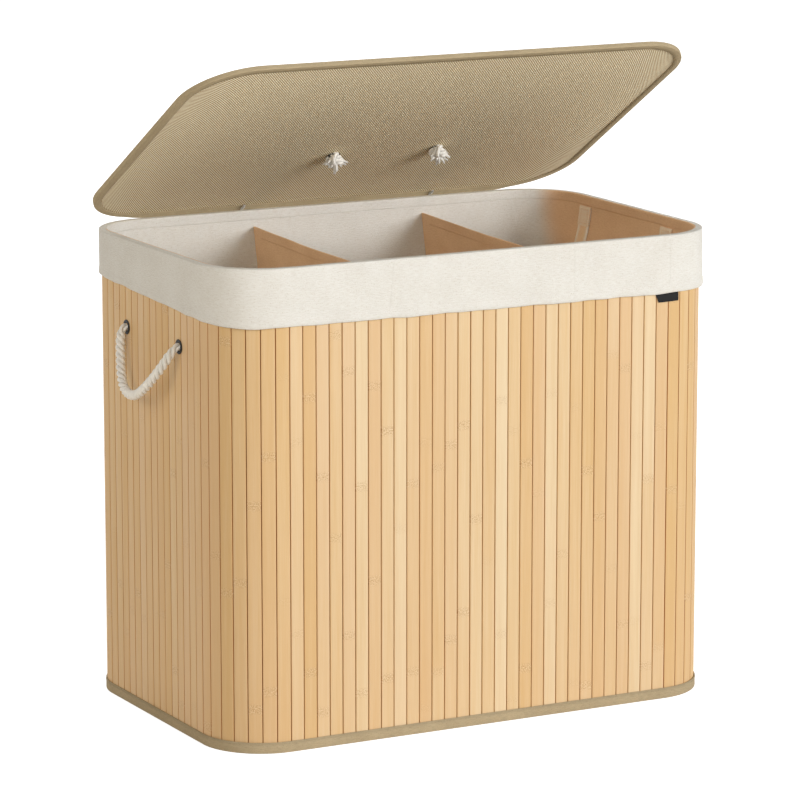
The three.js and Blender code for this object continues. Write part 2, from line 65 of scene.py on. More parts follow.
# Holes of the hinge ties: their middle, their distance from it as a share of the width, their drop
TIE_MIDDLE, TIE_SHARE, TIE_DROP = 21 * MM, 0.2, 78 * MM
# Holes of the lid: their middle, their distance from it, and their place in front of the hinge
LID_MIDDLE, LID_ASIDE, LID_PLACE = 24 * MM, 70 * MM, -147 * MM
# The lid's whole thickness, and the height of its slats' faces
LID_THICK, LID_FACE = 5.8 * MM, 4.7 * MM
# How far the liner lies over the rim, and how far it goes down inside it
RIM_OVER, RIM_INSIDE = 11 * MM, 12 * MM
# The bag's lower edge, and how far its floor stays in from the wall's face
BAG_FOOT, FLOOR_INSET = 6.7 * MM, 20.5 * MM
# Length round the wall, in metres, along which the cuff's hem was measured
ONCE_ROUND = 1.9816
# A small step along the wall, between two points that give its direction
NUDGE = 1e-4

# Rope handle of a short wall, in millimetres: out from the wall, towards the back, down from its holes
SIDE_ROUTE = [
    (-3, 72, 0), (2, 72, 0), (5.2, 71.9, 1.5), (7.4, 71.5, 5), (8.8, 70.6, 11), (10.4, 68, 20),
    (12.8, 63, 32), (15.6, 56, 45), (18.8, 46, 56.5), (22.4, 31, 64.5), (25.6, 9, 67.4),
    (27.8, -14, 63.4), (28, -34, 53.5), (25, -53, 38.5), (19.8, -65, 24), (13.8, -70.2, 12.5),
    (8.8, -71.7, 5.2), (4.8, -72, 1.2), (2, -72, 0), (-3, -72, 0),
]
# Rope handle of the lid, in millimetres: out from its slats, to the right, towards the hinge
LID_ROUTE = [
    (-5, 70, 0), (2, 70, 0), (8, 70, 0), (11, 69.7, 3.5), (12, 68.4, 10), (11, 65.2, 21), (8.8, 59.5, 34),
    (6.8, 50.5, 47), (5.6, 37.5, 58), (5.1, 20, 65), (5, 0, 67.5), (5.1, -20, 65), (5.6, -37.5, 58),
    (6.8, -50.5, 47), (8.8, -59.5, 34), (11, -65.2, 21), (12, -68.4, 10), (11, -69.7, 3.5), (8, -70, 0),
    (2, -70, 0), (-5, -70, 0),
]
# Hinge tie, in millimetres: out from the back wall's face and up from its hole
TIE_ROUTE = [
    (-7, 0), (0, 0), (4, 0.6), (6.6, 3.6), (7.2, 9), (6.4, 18), (5.6, 30), (5.5, 50), (5.5, 70),
    (5.8, 75.5), (5.4, 78.5), (3.4, 79.8), (0.4, 80.6), (-1.2, 81.8),
]


def length(name, default, description):
    """A property that holds a length in metres."""
    return bpy.props.FloatProperty(
        name=name, description=description, default=default, unit="LENGTH", min=0.0, precision=4
    )


def colour(name, default, description):
    """A property that holds a colour, given as its display values from 0 to 255."""
    share = np.array(default) / 255
    linear = np.where(share <= 0.04045, share / 12.92, ((share + 0.055) / 1.055) ** 2.4)
    return bpy.props.FloatVectorProperty(
        name=name, description=description, default=linear.tolist(), subtype="COLOR", size=3, min=0, max=1
    )


class HamperBodySizes(bpy.types.PropertyGroup):
    """Sizes of the bamboo body and the lid."""

    width: length("Width", 0.650, "Width over the faces of the slats")
    depth: length("Depth", 0.406, "Depth over the faces of the slats")
    height: length("Height", 0.562, "Height of the rim")
    corner: length("Corner Radius", 0.076, "Radius of the upright corners")
    pitch: length("Slat Pitch", 0.0166, "Distance from one slat to the next")
    gap: length("Slat Gap", 0.0009, "Gap between two slats")
    tape: length("Tape Width", 0.013, "Height of the tape over the wall's edges")
    lid_depth: length("Lid Depth", 0.420, "Depth of the lid")
    lid_tape: length("Lid Tape Width", 0.010, "Width of the tape round the lid")
    lid_open: bpy.props.FloatProperty(
        name="Lid Angle", description="How far the lid stands open", default=np.radians(31), subtype="ANGLE"
    )


class HamperLinerSizes(bpy.types.PropertyGroup):
    """Sizes of the cotton liner, its dividers and its webbing handles."""

    cuff: length("Cuff Height", 0.066, "How far the liner hangs over the rim")
    hem: length("Hem Width", 0.009, "Width of the cuff's hem")
    wave: length("Cloth Wave", 0.0009, "Depth of the waves in the cuff")
    fold: length("Bag Folds", 0.005, "Depth of the folds in the bag")
    divider: length("Divider Place", 0.116, "Distance of the dividers from the middle")
    divider_shift: length("Divider Shift", 0.018, "How far the dividers' back ends stand to the right")
    strap: length("Webbing Width", 0.025, "Width of the webbing handles")
    stitch: length("Stitch Length", 0.0032, "Distance from one stitch to the next")


class HamperRopeSizes(bpy.types.PropertyGroup):
    """Sizes of the ropes, their knots and eyelets."""

    rope: length("Rope Diameter", 0.009, "Diameter of the rope handles")
    lay: length("Rope Lay", 0.024, "Length of one full twist of the rope")
    tie: length("Tie Diameter", 0.003, "Diameter of the hinge ties")
    knot: length("Knot Width", 0.021, "Width of the rope's knots")
    flange: length("Eyelet Flange", 0.003, "Width of an eyelet's flange")


class HamperColours(bpy.types.PropertyGroup):
    """Colours of the hamper's materials."""

    bamboo_light: colour("Bamboo Light", (232, 210, 174), "Lightest strips of the slats")
    bamboo_dark: colour("Bamboo Dark", (217, 180, 127), "Darkest strips of the slats")
    bamboo_pink: colour("Bamboo Pink", (223, 188, 150), "Slats with a pink tinge")
    knuckle: colour("Bamboo Knuckle", (170, 122, 76), "Specks at the slats' knuckles")
    cotton: colour("Cotton", (250, 249, 244), "Liner")
    cotton_shade: colour("Cotton Shade", (229, 224, 214), "Darker threads of the liner")
    # Painted shade: the divider pair is the warm shade inside the bag, given to the dividers and the short
    # walls.
    divider: colour("Divider Cotton", (255, 216, 176), "Dividers and the bag's short walls")
    divider_shade: colour("Divider Cotton Shade", (236, 191, 146), "Darker threads of the dividers")
    # Painted shade: the webbing's tan is the warm shade on the bag's inner walls.
    webbing: colour("Webbing", (252, 224, 186), "Webbing handles")
    tape: colour("Khaki Tape", (193, 176, 144), "Tape over the edges")
    tape_shade: colour("Khaki Tape Shade", (166, 150, 121), "Darker threads of the tape")
    cloth: colour("Khaki Cloth", (255, 252, 228), "Cloth behind the slats")
    cloth_shade: colour("Khaki Cloth Shade", (186, 153, 106), "Darker threads of the cloth")
    rope: colour("Rope", (255, 254, 250), "Ropes and knots")
    rope_shade: colour("Rope Shade", (243, 239, 230), "Hollows between the rope's fibres")
    # Painted shade: the groove colour is the dark in the gaps between the slats, on the cloth behind them and
    # down the slats' sawn sides.
    groove: colour("Groove", (184, 120, 62), "Cloth seen between the slats")
    metal: colour("Black Metal", (26, 25, 25), "Eyelets")
    ribbon: colour("Black Ribbon", (27, 27, 29), "Tag")
    board: colour("Fibreboard", (176, 141, 98), "Board in the base")
    floor: colour("Floor", (244, 240, 232), "Floor of the stage")


# Surfaces


class Surface:
    """Gathers grids of points into one closed piece, with pattern coordinates, a tone and a mark."""

    def __init__(self):
        self.blocks = []
        self.faces = []
        self.count = 0

    def add(self, points, faces, pattern, tone=0.5, mark=0.0):
        """Adds points (n, 3), faces (m, corners) and each corner's pattern coordinates (m, corners, 2)."""
        tones = np.broadcast_to(tone, len(points))
        marks = np.broadcast_to(mark, len(points))
        self.blocks.append((points, tones, marks))
        self.faces.append((faces + self.count, pattern))
        self.count += len(points)

    def grid(self, points, u, v, wrap_u=False, wrap_v=False, tone=0.5, mark=0.0, caps=False):
        """Adds a grid of points (rows, columns, 3), or several such grids at once (grids, rows, columns, 3).

        u and v are the pattern coordinates of its rows and columns, with one value more where the grid
        closes on itself. Caps close the two ends of a tube.
        """
        points = points if points.ndim == 4 else points[None]
        grids, rows, columns = points.shape[:3]
        across, along = rows if wrap_u else rows - 1, columns if wrap_v else columns - 1
        i, j = np.meshgrid(np.arange(across), np.arange(along), indexing="ij")
        row_of = np.stack([i, i + 1, i + 1, i], -1).reshape(-1, 4)
        column_of = np.stack([j, j, j + 1, j + 1], -1).reshape(-1, 4)
        first = np.arange(grids)[:, None, None] * rows * columns
        faces = (row_of % rows * columns + column_of % columns)[None] + first
        u, v = np.broadcast_to(u, (grids, np.shape(u)[-1])), np.broadcast_to(v, (grids, np.shape(v)[-1]))
        pattern = np.stack([u[:, row_of], v[:, column_of]], -1)
        shape = (grids, rows, columns)
        tones, marks = (np.broadcast_to(value, shape).reshape(-1) for value in (tone, mark))
        start = self.count
        self.add(points.reshape(-1, 3), faces.reshape(-1, 4), pattern.reshape(-1, 4, 2), tones, marks)
        if caps:
            ring = np.arange(columns)
            for row, order in ((0, ring), (rows - 1, ring[::-1])):
                end = (row * columns + order)[None] + first[:, 0] + start - self.count
                ends = np.stack([np.repeat(u[:, row, None], columns, 1), v[:, order]], -1)
                self.add(np.zeros((0, 3)), end, ends)

    def slab(self, top, bottom, u, v, wrap_u=False, mark=0.0):
        """Adds a sheet between a top and a bottom grid of points, closed round its edges."""
        rows, columns = top.shape[:2]
        around = np.concatenate([top, bottom[:, ::-1]], 1)
        marks = np.broadcast_to(mark, (rows, columns))
        pattern_v = np.concatenate([v, v[::-1], v[:1]])
        start = self.count
        self.grid(around, u, pattern_v, wrap_u, True, mark=np.concatenate([marks, marks[:, ::-1]], 1))
        if wrap_u:
            return
        k = np.arange(columns - 1)
        strip = np.stack([k, k + 1, 2 * columns - 2 - k, 2 * columns - 1 - k], -1)
        for row, order in ((0, slice(None)), (rows - 1, slice(None, None, -1))):
            end = strip[:, order]
            ends = np.stack([np.full(end.shape, u[row]), pattern_v[end]], -1)
            self.add(np.zeros((0, 3)), row * 2 * columns + end + start - self.count, ends)

    def piece(self, name, material, slot, sharp=None):
        """Makes the object. A shape whose enclosed volume comes out negative is turned the right way."""
        points = np.concatenate([block[0] for block in self.blocks])
        volume = sum(
            np.einsum("ij,ij->", points[f[:, 0]], np.cross(points[f[:, k]], points[f[:, k + 1]]))
            for f, _ in self.faces for k in range(1, f.shape[1] - 1)
        )
        step = -1 if volume < 0 else 1
        mesh = bpy.data.meshes.new(name)
        mesh.from_pydata(points.tolist(), [], [face for f, _ in self.faces for face in f[:, ::step].tolist()])
        pattern = np.concatenate([p[:, ::step].reshape(-1, 2) for _, p in self.faces])
        mesh.uv_layers.new(name=PATTERN).data.foreach_set("uv", pattern.astype(np.float32).ravel())
        for label, row in (("tone", 1), ("mark", 2)):
            values = np.concatenate([block[row] for block in self.blocks]).astype(np.float32)
            mesh.attributes.new(label, "FLOAT", "POINT").data.foreach_set("value", values)
        mesh.shade_smooth()
        if sharp:
            mesh.set_sharp_from_angle(angle=np.radians(sharp))
        mesh.materials.append(material)
        piece = bpy.data.objects.new(name, mesh)
        bpy.context.scene.collection.objects.link(piece)
        return piece


def place(piece, body, *nodes):
    """The piece rides on a body and stands for its CAD nodes."""
    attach(piece, body)
    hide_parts(*nodes)
    return piece


def sizes():
    """The three groups of sizes."""
    scene = bpy.context.scene
    return scene.hamper_body, scene.hamper_liner, scene.hamper_rope


def unit(vectors):
    """The vectors divided by their lengths."""
    return vectors / np.linalg.norm(vectors, axis=-1, keepdims=True)


def ease(value):
    """0 below 0 and 1 above 1, with the smooth step 3t^2 - 2t^3 between."""
    t = np.clip(value, 0, 1)
    return t * t * (3 - 2 * t)


def ripples(along, up, seed, counts):
    """Soft waves from -1 to 1: a mean of sines that each fit a whole number of times once round and lean
    their own way."""
    random = np.random.default_rng(seed)
    turns, leans = random.random(len(counts)), random.uniform(-1, 1, len(counts))
    weights = 1 / np.sqrt(counts)
    waves = sum(
        weight * np.sin(2 * np.pi * (count * along + turn + lean * up))
        for count, turn, lean, weight in zip(counts, turns, leans, weights)
    )
    return waves / weights.sum()


def perimeter(width, depth, radius):
    """Length round a rounded rectangle: its straight sides and one full circle."""
    return 2 * (width + depth - 4 * radius) + 2 * np.pi * radius


def wall_length():
    """Length round the wall's face."""
    body = sizes()[0]
    return perimeter(body.width, body.depth, body.corner)


def round_wall(distance, offset, height, width=None, depth=None, radius=None):
    """Points at a distance round the wall, an offset out from its face and a height.

    From the left end of the front, anticlockwise seen from above: a straight side, then a quarter circle
    of the corner radius, four times. Each quarter is the first one turned by a right angle.
    """
    body = sizes()[0]
    width, depth, radius = width or body.width, depth or body.depth, radius or body.corner
    half = np.array([width, depth]) / 2 - radius
    along = np.array([half[0], half[1], half[0], half[1]])
    arc = np.pi / 2 * radius
    ends = np.cumsum(2 * along + arc)
    distance, offset, height = np.broadcast_arrays(distance, offset, height)
    distance = distance % ends[-1]
    quarter = np.searchsorted(ends, distance, side="right").clip(0, 3)
    run = distance - (ends - 2 * along - arc)[quarter]
    turn = np.clip((run - 2 * along[quarter]) / radius, 0, np.pi / 2)
    x = np.minimum(run, 2 * along[quarter]) - along[quarter] + (radius + offset) * np.sin(turn)
    y = -along[(quarter + 1) % 4] - (radius + offset) * np.cos(turn)
    cos, sin = np.array([1, 0, -1, 0])[quarter], np.array([0, 1, 0, -1])[quarter]
    return np.stack([x * cos - y * sin, x * sin + y * cos, height], -1)


def wall_frame(distance, offset, height):
    """Points on the wall with the directions along it and out of it, from two nearby points."""
    here = round_wall(distance, offset, height)
    along = unit(round_wall(np.asarray(distance) + NUDGE, offset, height) - here)
    return here, along, np.cross(along, (0, 0, 1))


def stretches():
    """(start, end) of each flat side and each round corner, in turn round the wall."""
    body = sizes()[0]
    flat = np.array([body.width, body.depth, body.width, body.depth]) - 2 * body.corner
    lengths = np.stack([flat, np.full(4, np.pi / 2 * body.corner)], 1).ravel()
    ends = np.cumsum(lengths)
    return np.stack([ends - lengths, ends], 1)


def panel_grid(width, depth, radius, columns, rows):
    """Points of a flat rounded rectangle and its column and row places.

    Each column runs from the front edge to the back edge: half the depth less the radius, plus the
    height of the corner's circle over that column. The columns lie closer together at the corners.
    """
    t = np.linspace(-1, 1, columns)
    x = (np.sin(t * np.pi / 2) * 0.35 + t * 0.65) * width / 2
    reach = panel_reach(x, width, depth, radius)
    y = np.linspace(-1, 1, rows)[None] * reach[:, None]
    points = np.stack([np.repeat(x[:, None], rows, 1), y, np.zeros_like(y)], -1)
    return points, x, np.linspace(-depth / 2, depth / 2, rows)


def panel_reach(x, width, depth, radius):
    """Half the depth of a rounded rectangle at each x."""
    past = np.clip(np.abs(x) - (width / 2 - radius), 0, radius)
    return depth / 2 - radius + np.sqrt(radius**2 - past**2)


def path_through(knots, step):
    """A smooth path through the knots at even steps.

    Between two knots it is the cubic whose slopes at them are half the way between their neighbours.
    """
    k = np.array(knots, float)
    k = np.concatenate([2 * k[:1] - k[1:2], k, 2 * k[-1:] - k[-2:-1]])
    t = np.linspace(0, 1, 24, endpoint=False)[None, :, None]
    a, b, c, d = (k[i : len(k) - 3 + i, None] for i in range(4))
    curve = b + t * (c - a) / 2 + t**2 * (a - 2.5 * b + 2 * c - d / 2) + t**3 * (1.5 * (b - c) + (d - a) / 2)
    curve = np.concatenate([curve.reshape(-1, 3), k[-2:-1]])
    return even_steps(curve, step)


def even_steps(curve, step):
    """The curve's points at even distances along it."""
    far = path_distance(curve)
    places = np.linspace(0, far[-1], max(int(np.ceil(far[-1] / step)), 2) + 1)
    return np.stack([np.interp(places, far, curve[:, axis]) for axis in range(3)], -1)


def path_distance(curve):
    """Distance along a curve to each of its points."""
    return np.concatenate([[0], np.cumsum(np.linalg.norm(np.diff(curve, axis=0), axis=1))])


def round_distance(section):
    """Distance along a closed line to each of its points and back to the first."""
    return path_distance(np.concatenate([section, section[:1]]))


def path_frame(path, beside):
    """Directions along a path and two across it, the first as near as it can be to a given direction."""
    along = unit(np.gradient(path, axis=0))
    beside = np.broadcast_to(beside, path.shape)
    across = unit(beside - np.sum(beside * along, -1, keepdims=True) * along)
    return along, across, np.cross(along, across)


def add_rope(surface, path, beside, diameter, lay, sides=8):
    """Three strands twisted to the left round a path: each middle goes round it once in each lay, a little
    more than a quarter of the diameter out, and its round section stands square to its own helix. The
    diameter may change along the path."""
    diameter = np.broadcast_to(diameter, len(path))[None, :, None]
    along, across, up = path_frame(path, beside)
    far = path_distance(path)
    strands = 3
    turn = 2 * np.pi * (-far[None, :, None] / lay + np.arange(strands)[:, None, None] / strands)
    radial = np.cos(turn) * across + np.sin(turn) * up
    around = np.sin(turn) * across - np.cos(turn) * up
    out, thick = 0.285 * diameter, 0.23 * diameter
    helix = unit(along + around * (2 * np.pi * out / lay))
    side = np.cross(helix, radial)
    angle = np.linspace(0, 2 * np.pi, sides, endpoint=False)
    section = np.cos(angle)[:, None] * radial[:, :, None] + np.sin(angle)[:, None] * side[:, :, None]
    points = (path + out * radial)[:, :, None] + thick[..., None] * section
    surface.grid(points, far, np.linspace(0, 1, sides + 1), wrap_v=True, caps=True)


def add_stitches(surface, points, along, out, stitch, thick=0.7 * MM):
    """A thread bead at each point: a short round bar, drawn in at its ends and sunk to its middle."""
    ends, girth = np.array([-1, -0.6, 0.6, 1]), np.array([0.3, 1, 1, 0.3])
    sides, reach = 6, 0.36 * stitch
    side = np.cross(out, along)
    angle = np.linspace(0, 2 * np.pi, sides, endpoint=False)
    section = thick / 2 * (
        np.cos(angle)[:, None] * side[:, None, None] + np.sin(angle)[:, None] * out[:, None, None]
    )
    bars = points[:, None, None] + along[:, None, None] * (ends * reach)[:, None, None]
    bars = bars + girth[:, None, None] * section
    surface.grid(bars, ends * stitch, np.linspace(0, 1, sides + 1), wrap_v=True, caps=True)


def even_places(start, end, step):
    """Middles of even steps from a start to an end."""
    count = max(int(round((end - start) / step)), 1)
    return start + (np.arange(count) + 0.5) * (end - start) / count


def lid_to_row(points):
    """Points of the lid's own frame, x right, y towards the hinge and z out of its top, in the row frame:
    turned about the hinge by the lid's angle and moved to it."""
    angle, (y, z) = sizes()[0].lid_open, hinge()
    cos, sin = np.cos(angle), np.sin(angle)
    aside, back, out = np.moveaxis(np.asarray(points, float), -1, 0)
    return np.stack([aside, y + back * cos + out * sin, z - back * sin + out * cos], -1)


def hinge():
    """The hinge's y and z: just behind the cuff and over the rim."""
    body = sizes()[0]
    return body.depth / 2 + 8.9 * MM, body.height + 0.5 * MM


# Materials


def set_inputs(tree, node, inputs):
    """Sets a node's inputs to values, or links them to the sockets that feed them."""
    for key, value in inputs.items():
        if isinstance(value, bpy.types.NodeSocket):
            tree.links.new(value, node.inputs[key])
        elif value is not None:
            node.inputs[key].default_value = value


def add_node(tree, kind, inputs=(), **settings):
    """A node with its settings, whose inputs are values or the sockets that feed them."""
    made = tree.nodes.new(kind)
    for name, value in settings.items():
        setattr(made, name, value)
    set_inputs(tree, made, inputs if isinstance(inputs, dict) else dict(enumerate(inputs)))
    return made


def maths(tree, operation, first, second=None, third=None):
    """The output of a Math node."""
    return add_node(tree, "ShaderNodeMath", (first, second, third), operation=operation).outputs[0]


def noise(tree, place_socket, scale, detail, roughness=0.5):
    """The factor of a noise texture at a place."""
    values = {"Vector": place_socket, "Scale": scale, "Detail": detail, "Roughness": roughness}
    return add_node(tree, "ShaderNodeTexNoise", values).outputs[0]


def stretched(tree, place_socket, scale, rotation=0.0):
    """A place turned about Z and scaled on each axis."""
    values = {"Vector": place_socket, "Scale": scale, "Rotation": (0, 0, rotation)}
    return add_node(tree, "ShaderNodeMapping", values).outputs["Vector"]


def mix(tree, share, first, second):
    """Two colours mixed by a share: a Mix node's seventh and eighth inputs and third output are colours."""
    return add_node(tree, "ShaderNodeMix", {0: share, 6: first, 7: second}, data_type="RGBA").outputs[2]


def between(tree, value, low, high):
    """A value brought from the range of low to high to 0 to 1."""
    return add_node(tree, "ShaderNodeMapRange", (value, low, high, 0.0, 1.0)).outputs[0]


def new_group(name, inputs, outputs):
    """A shader node group with its named sockets."""
    tree = bpy.data.node_groups.new(name, "ShaderNodeTree")
    for label, kind, default in inputs:
        socket = tree.interface.new_socket(label, in_out="INPUT", socket_type=kind)
        socket.default_value = default
    for label, kind in outputs:
        tree.interface.new_socket(label, in_out="OUTPUT", socket_type=kind)
    start, end = tree.nodes.new("NodeGroupInput"), tree.nodes.new("NodeGroupOutput")
    return tree, start.outputs, end.inputs


VECTOR, NUMBER, COLOUR = "NodeSocketVector", "NodeSocketFloat", "NodeSocketColor"


def weave_group():
    """Woven Threads: threads that pass over and under, with slubs, flecks and slow blotches.

    The height is the product of two sines of the place over the thread's width, so it rises where one
    thread lies over the other. The colour goes from shade to light with that height and with noise.
    """
    tree, given, out = new_group(
        "Woven Threads",
        [("Place", VECTOR, (0, 0, 0)), ("Thread", NUMBER, 0.001), ("Light", COLOUR, (1, 1, 1, 1)),
         ("Shade", COLOUR, (0.5, 0.5, 0.5, 1)), ("Contrast", NUMBER, 0.5), ("Blotches", NUMBER, 0.3)],
        [("Colour", COLOUR), ("Height", NUMBER)],
    )
    turns = maths(tree, "DIVIDE", np.pi, given["Thread"])
    across = add_node(tree, "ShaderNodeSeparateXYZ", (given["Place"],)).outputs
    warp = maths(tree, "SINE", maths(tree, "MULTIPLY", across["X"], turns))
    weft = maths(tree, "SINE", maths(tree, "MULTIPLY", across["Y"], turns))
    over = maths(tree, "MULTIPLY_ADD", maths(tree, "MULTIPLY", warp, weft), 0.5, 0.5)
    slub = noise(tree, stretched(tree, given["Place"], (160, 760, 1)), 1.0, 2.0)
    fleck = between(tree, noise(tree, given["Place"], 620.0, 1.0), 0.6, 0.75)
    blotch = between(tree, noise(tree, given["Place"], 26.0, 3.0), 0.3, 0.7)
    threads = maths(tree, "MULTIPLY", maths(tree, "SUBTRACT", 1.0, over), given["Contrast"])
    dark = maths(tree, "MULTIPLY_ADD", blotch, given["Blotches"], threads)
    dark = maths(tree, "MULTIPLY_ADD", maths(tree, "SUBTRACT", slub, 0.5), 1.1, dark)
    dark = maths(tree, "MULTIPLY_ADD", fleck, 0.7, dark)
    tree.links.new(mix(tree, dark, given["Light"], given["Shade"]), out["Colour"])
    tree.links.new(maths(tree, "MULTIPLY_ADD", slub, 1.6, over), out["Height"])
    return tree


def twill_group():
    """Twill Ribs: ribs along Y, crossed by finer threads.

    The height is a sine of X over the rib's width with a weaker, faster sine of Y, and the colour goes
    from shade to light with it.
    """
    tree, given, out = new_group(
        "Twill Ribs",
        [("Place", VECTOR, (0, 0, 0)), ("Rib", NUMBER, 0.002), ("Light", COLOUR, (1, 1, 1, 1)),
         ("Shade", COLOUR, (0.5, 0.5, 0.5, 1))],
        [("Colour", COLOUR), ("Height", NUMBER)],
    )
    turns = maths(tree, "DIVIDE", 2 * np.pi, given["Rib"])
    across = add_node(tree, "ShaderNodeSeparateXYZ", (given["Place"],)).outputs
    ribs = maths(tree, "SINE", maths(tree, "MULTIPLY", across["X"], turns))
    finer = maths(tree, "MULTIPLY", turns, 1.6)
    threads = maths(tree, "SINE", maths(tree, "MULTIPLY", across["Y"], finer))
    height = maths(tree, "MULTIPLY_ADD", ribs, 0.95, maths(tree, "MULTIPLY_ADD", threads, 0.25, 0.5))
    slub = maths(tree, "SUBTRACT", noise(tree, given["Place"], 300.0, 2.0), 0.5)
    height = maths(tree, "MULTIPLY_ADD", slub, 0.15, height)
    tree.links.new(mix(tree, height, given["Shade"], given["Light"]), out["Colour"])
    tree.links.new(height, out["Height"])
    return tree


def strip_group():
    """Bamboo Strip: fibres and broad bands along a slat, its tone and tinge, and specks at its knuckles.

    The fibres are noise drawn out along the slat, the bands the same noise much broader, and the tinge a
    noise so slow that it hardly changes along one slat. A tone below 0 goes to the colour of the grooves.
    Dark and light specks are the high and low parts of a fine noise where the slat has its knuckle.
    """
    tree, given, out = new_group(
        "Bamboo Strip",
        [("Place", VECTOR, (0, 0, 0)), ("Tone", NUMBER, 0.5), ("Knuckle", NUMBER, 0.0),
         ("Light", COLOUR, (1, 1, 1, 1)), ("Dark", COLOUR, (0.5, 0.5, 0.5, 1)),
         ("Tinge", COLOUR, (0.8, 0.6, 0.5, 1)), ("Specks", COLOUR, (0.2, 0.1, 0, 1))],
        [("Colour", COLOUR), ("Roughness", NUMBER), ("Height", NUMBER)],
    )
    fibres = noise(tree, stretched(tree, given["Place"], (2200, 18, 1)), 1.0, 4.0, 0.6)
    bands = noise(tree, stretched(tree, given["Place"], (150, 4, 1)), 1.0, 2.0)
    share = maths(tree, "MULTIPLY", given["Tone"], 0.9)
    share = maths(tree, "MULTIPLY_ADD", maths(tree, "SUBTRACT", bands, 0.5), 0.7, share)
    share = maths(tree, "MULTIPLY_ADD", maths(tree, "SUBTRACT", fibres, 0.5), 0.9, share)
    plain = mix(tree, share, given["Dark"], given["Light"])
    tinge = between(tree, noise(tree, given["Place"], 0.9, 0.0), 0.4, 0.65)
    plain = mix(tree, maths(tree, "MULTIPLY", tinge, 0.4), plain, given["Tinge"])
    # Painted shade: a tone below 0 turns the strip to the groove colour.
    plain = mix(tree, between(tree, given["Tone"], 0.0, -0.8), plain, tint("groove"))
    fine = noise(tree, stretched(tree, given["Place"], (880, 640, 1)), 1.0, 2.0, 0.6)
    high = maths(tree, "MULTIPLY", between(tree, fine, 0.49, 0.62), given["Knuckle"])
    low = maths(tree, "MULTIPLY", between(tree, fine, 0.47, 0.4), given["Knuckle"])
    spotted = mix(tree, maths(tree, "MULTIPLY", high, 0.65), plain, given["Specks"])
    spotted = mix(tree, maths(tree, "MULTIPLY", low, 0.7), spotted, given["Light"])
    tree.links.new(spotted, out["Colour"])
    tree.links.new(maths(tree, "MULTIPLY_ADD", fibres, 0.2, 0.4), out["Roughness"])
    tree.links.new(maths(tree, "MULTIPLY_ADD", bands, 0.5, fibres), out["Height"])
    return tree


def fibre_group():
    """Twisted Fibres: fine ridges that run along a strand at a slant, with loose fibres."""
    tree, given, out = new_group(
        "Twisted Fibres",
        [("Place", VECTOR, (0, 0, 0)), ("Light", COLOUR, (1, 1, 1, 1)),
         ("Shade", COLOUR, (0.5, 0.5, 0.5, 1))],
        [("Colour", COLOUR), ("Height", NUMBER)],
    )
    across = add_node(tree, "ShaderNodeSeparateXYZ", (given["Place"],)).outputs
    slant = maths(tree, "MULTIPLY_ADD", across["X"], 700.0, maths(tree, "MULTIPLY", across["Y"], 44.0))
    ridges = maths(tree, "MULTIPLY_ADD", maths(tree, "SINE", slant), 0.5, 0.5)
    loose = noise(tree, stretched(tree, given["Place"], (400, 9, 1)), 1.0, 4.0)
    dark = maths(tree, "MULTIPLY", maths(tree, "SUBTRACT", 1.0, ridges), 0.3)
    dark = maths(tree, "ADD", dark, maths(tree, "MULTIPLY", loose, 0.35))
    tree.links.new(mix(tree, dark, given["Light"], given["Shade"]), out["Colour"])
    tree.links.new(maths(tree, "ADD", ridges, loose), out["Height"])
    return tree


def tint(name):
    """A colour of the hamper with full alpha."""
    return (*getattr(bpy.context.scene.hamper_colours, name), 1.0)


def new_material(name, fill, bump, **finish):
    """A material whose fill function gives the sockets for its colour, height and roughness."""
    material = bpy.data.materials.get(name)
    if material:
        return material
    material = bpy.data.materials.new(name)
    material.use_nodes = True
    tree = material.node_tree
    shader = tree.nodes["Principled BSDF"]
    set_inputs(tree, shader, {key.replace("_", " "): value for key, value in finish.items()})
    base, height, roughness = fill(tree)
    normal = add_node(tree, "ShaderNodeBump", {"Distance": bump, "Height": height, "Strength": 1.0})
    set_inputs(tree, shader, {"Base Color": base, "Roughness": roughness, "Normal": normal.outputs["Normal"]})
    return material


def own_place(tree):
    """The piece's own pattern coordinates."""
    return add_node(tree, "ShaderNodeUVMap", uv_map=PATTERN).outputs["UV"]


def object_place(tree):
    """Object coordinates, for pieces with no pattern coordinates."""
    return add_node(tree, "ShaderNodeTexCoord").outputs["Object"]


def attribute(tree, name):
    """A number that the piece's points hold."""
    return add_node(tree, "ShaderNodeAttribute", attribute_name=name).outputs["Fac"]


def use_group(tree, make, **inputs):
    """The outputs of a shared group with its inputs set. It bears the words before the colon in the
    docstring of the function that makes it, and is made when it is first used."""
    node = tree.nodes.new("ShaderNodeGroup")
    node.node_tree = bpy.data.node_groups.get(make.__doc__.split(":")[0]) or make()
    set_inputs(tree, node, inputs)
    return node.outputs


def filled_by(make, turn=0.0, read=(), **inputs):
    """A fill function that takes all it gives from one shared group.

    Read pairs the group's inputs with the attributes that feed them. A word among the other inputs names
    a colour.
    """

    def fill(tree):
        spot = own_place(tree)
        if turn:
            spot = stretched(tree, spot, (1, 1, 1), turn)
        values = {key: tint(value) if isinstance(value, str) else value for key, value in inputs.items()}
        values.update({key: attribute(tree, name) for key, name in read})
        found = use_group(tree, make, Place=spot, **values)
        return found["Colour"], found["Height"], found.get("Roughness")

    return fill


def woven(light, shade, thread, contrast, blotches, here=own_place, other=None):
    """A fill function for a woven cloth, which goes to another pair of colours where it is marked."""

    def fill(tree):
        pair = [tint(light), tint(shade)]
        if other:
            pair = [mix(tree, attribute(tree, "mark"), *two) for two in zip(pair, map(tint, other))]
        found = use_group(
            tree, weave_group, Place=here(tree), Thread=thread, Light=pair[0], Shade=pair[1],
            Contrast=contrast, Blotches=blotches,
        )
        return found["Colour"], found["Height"], None

    return fill


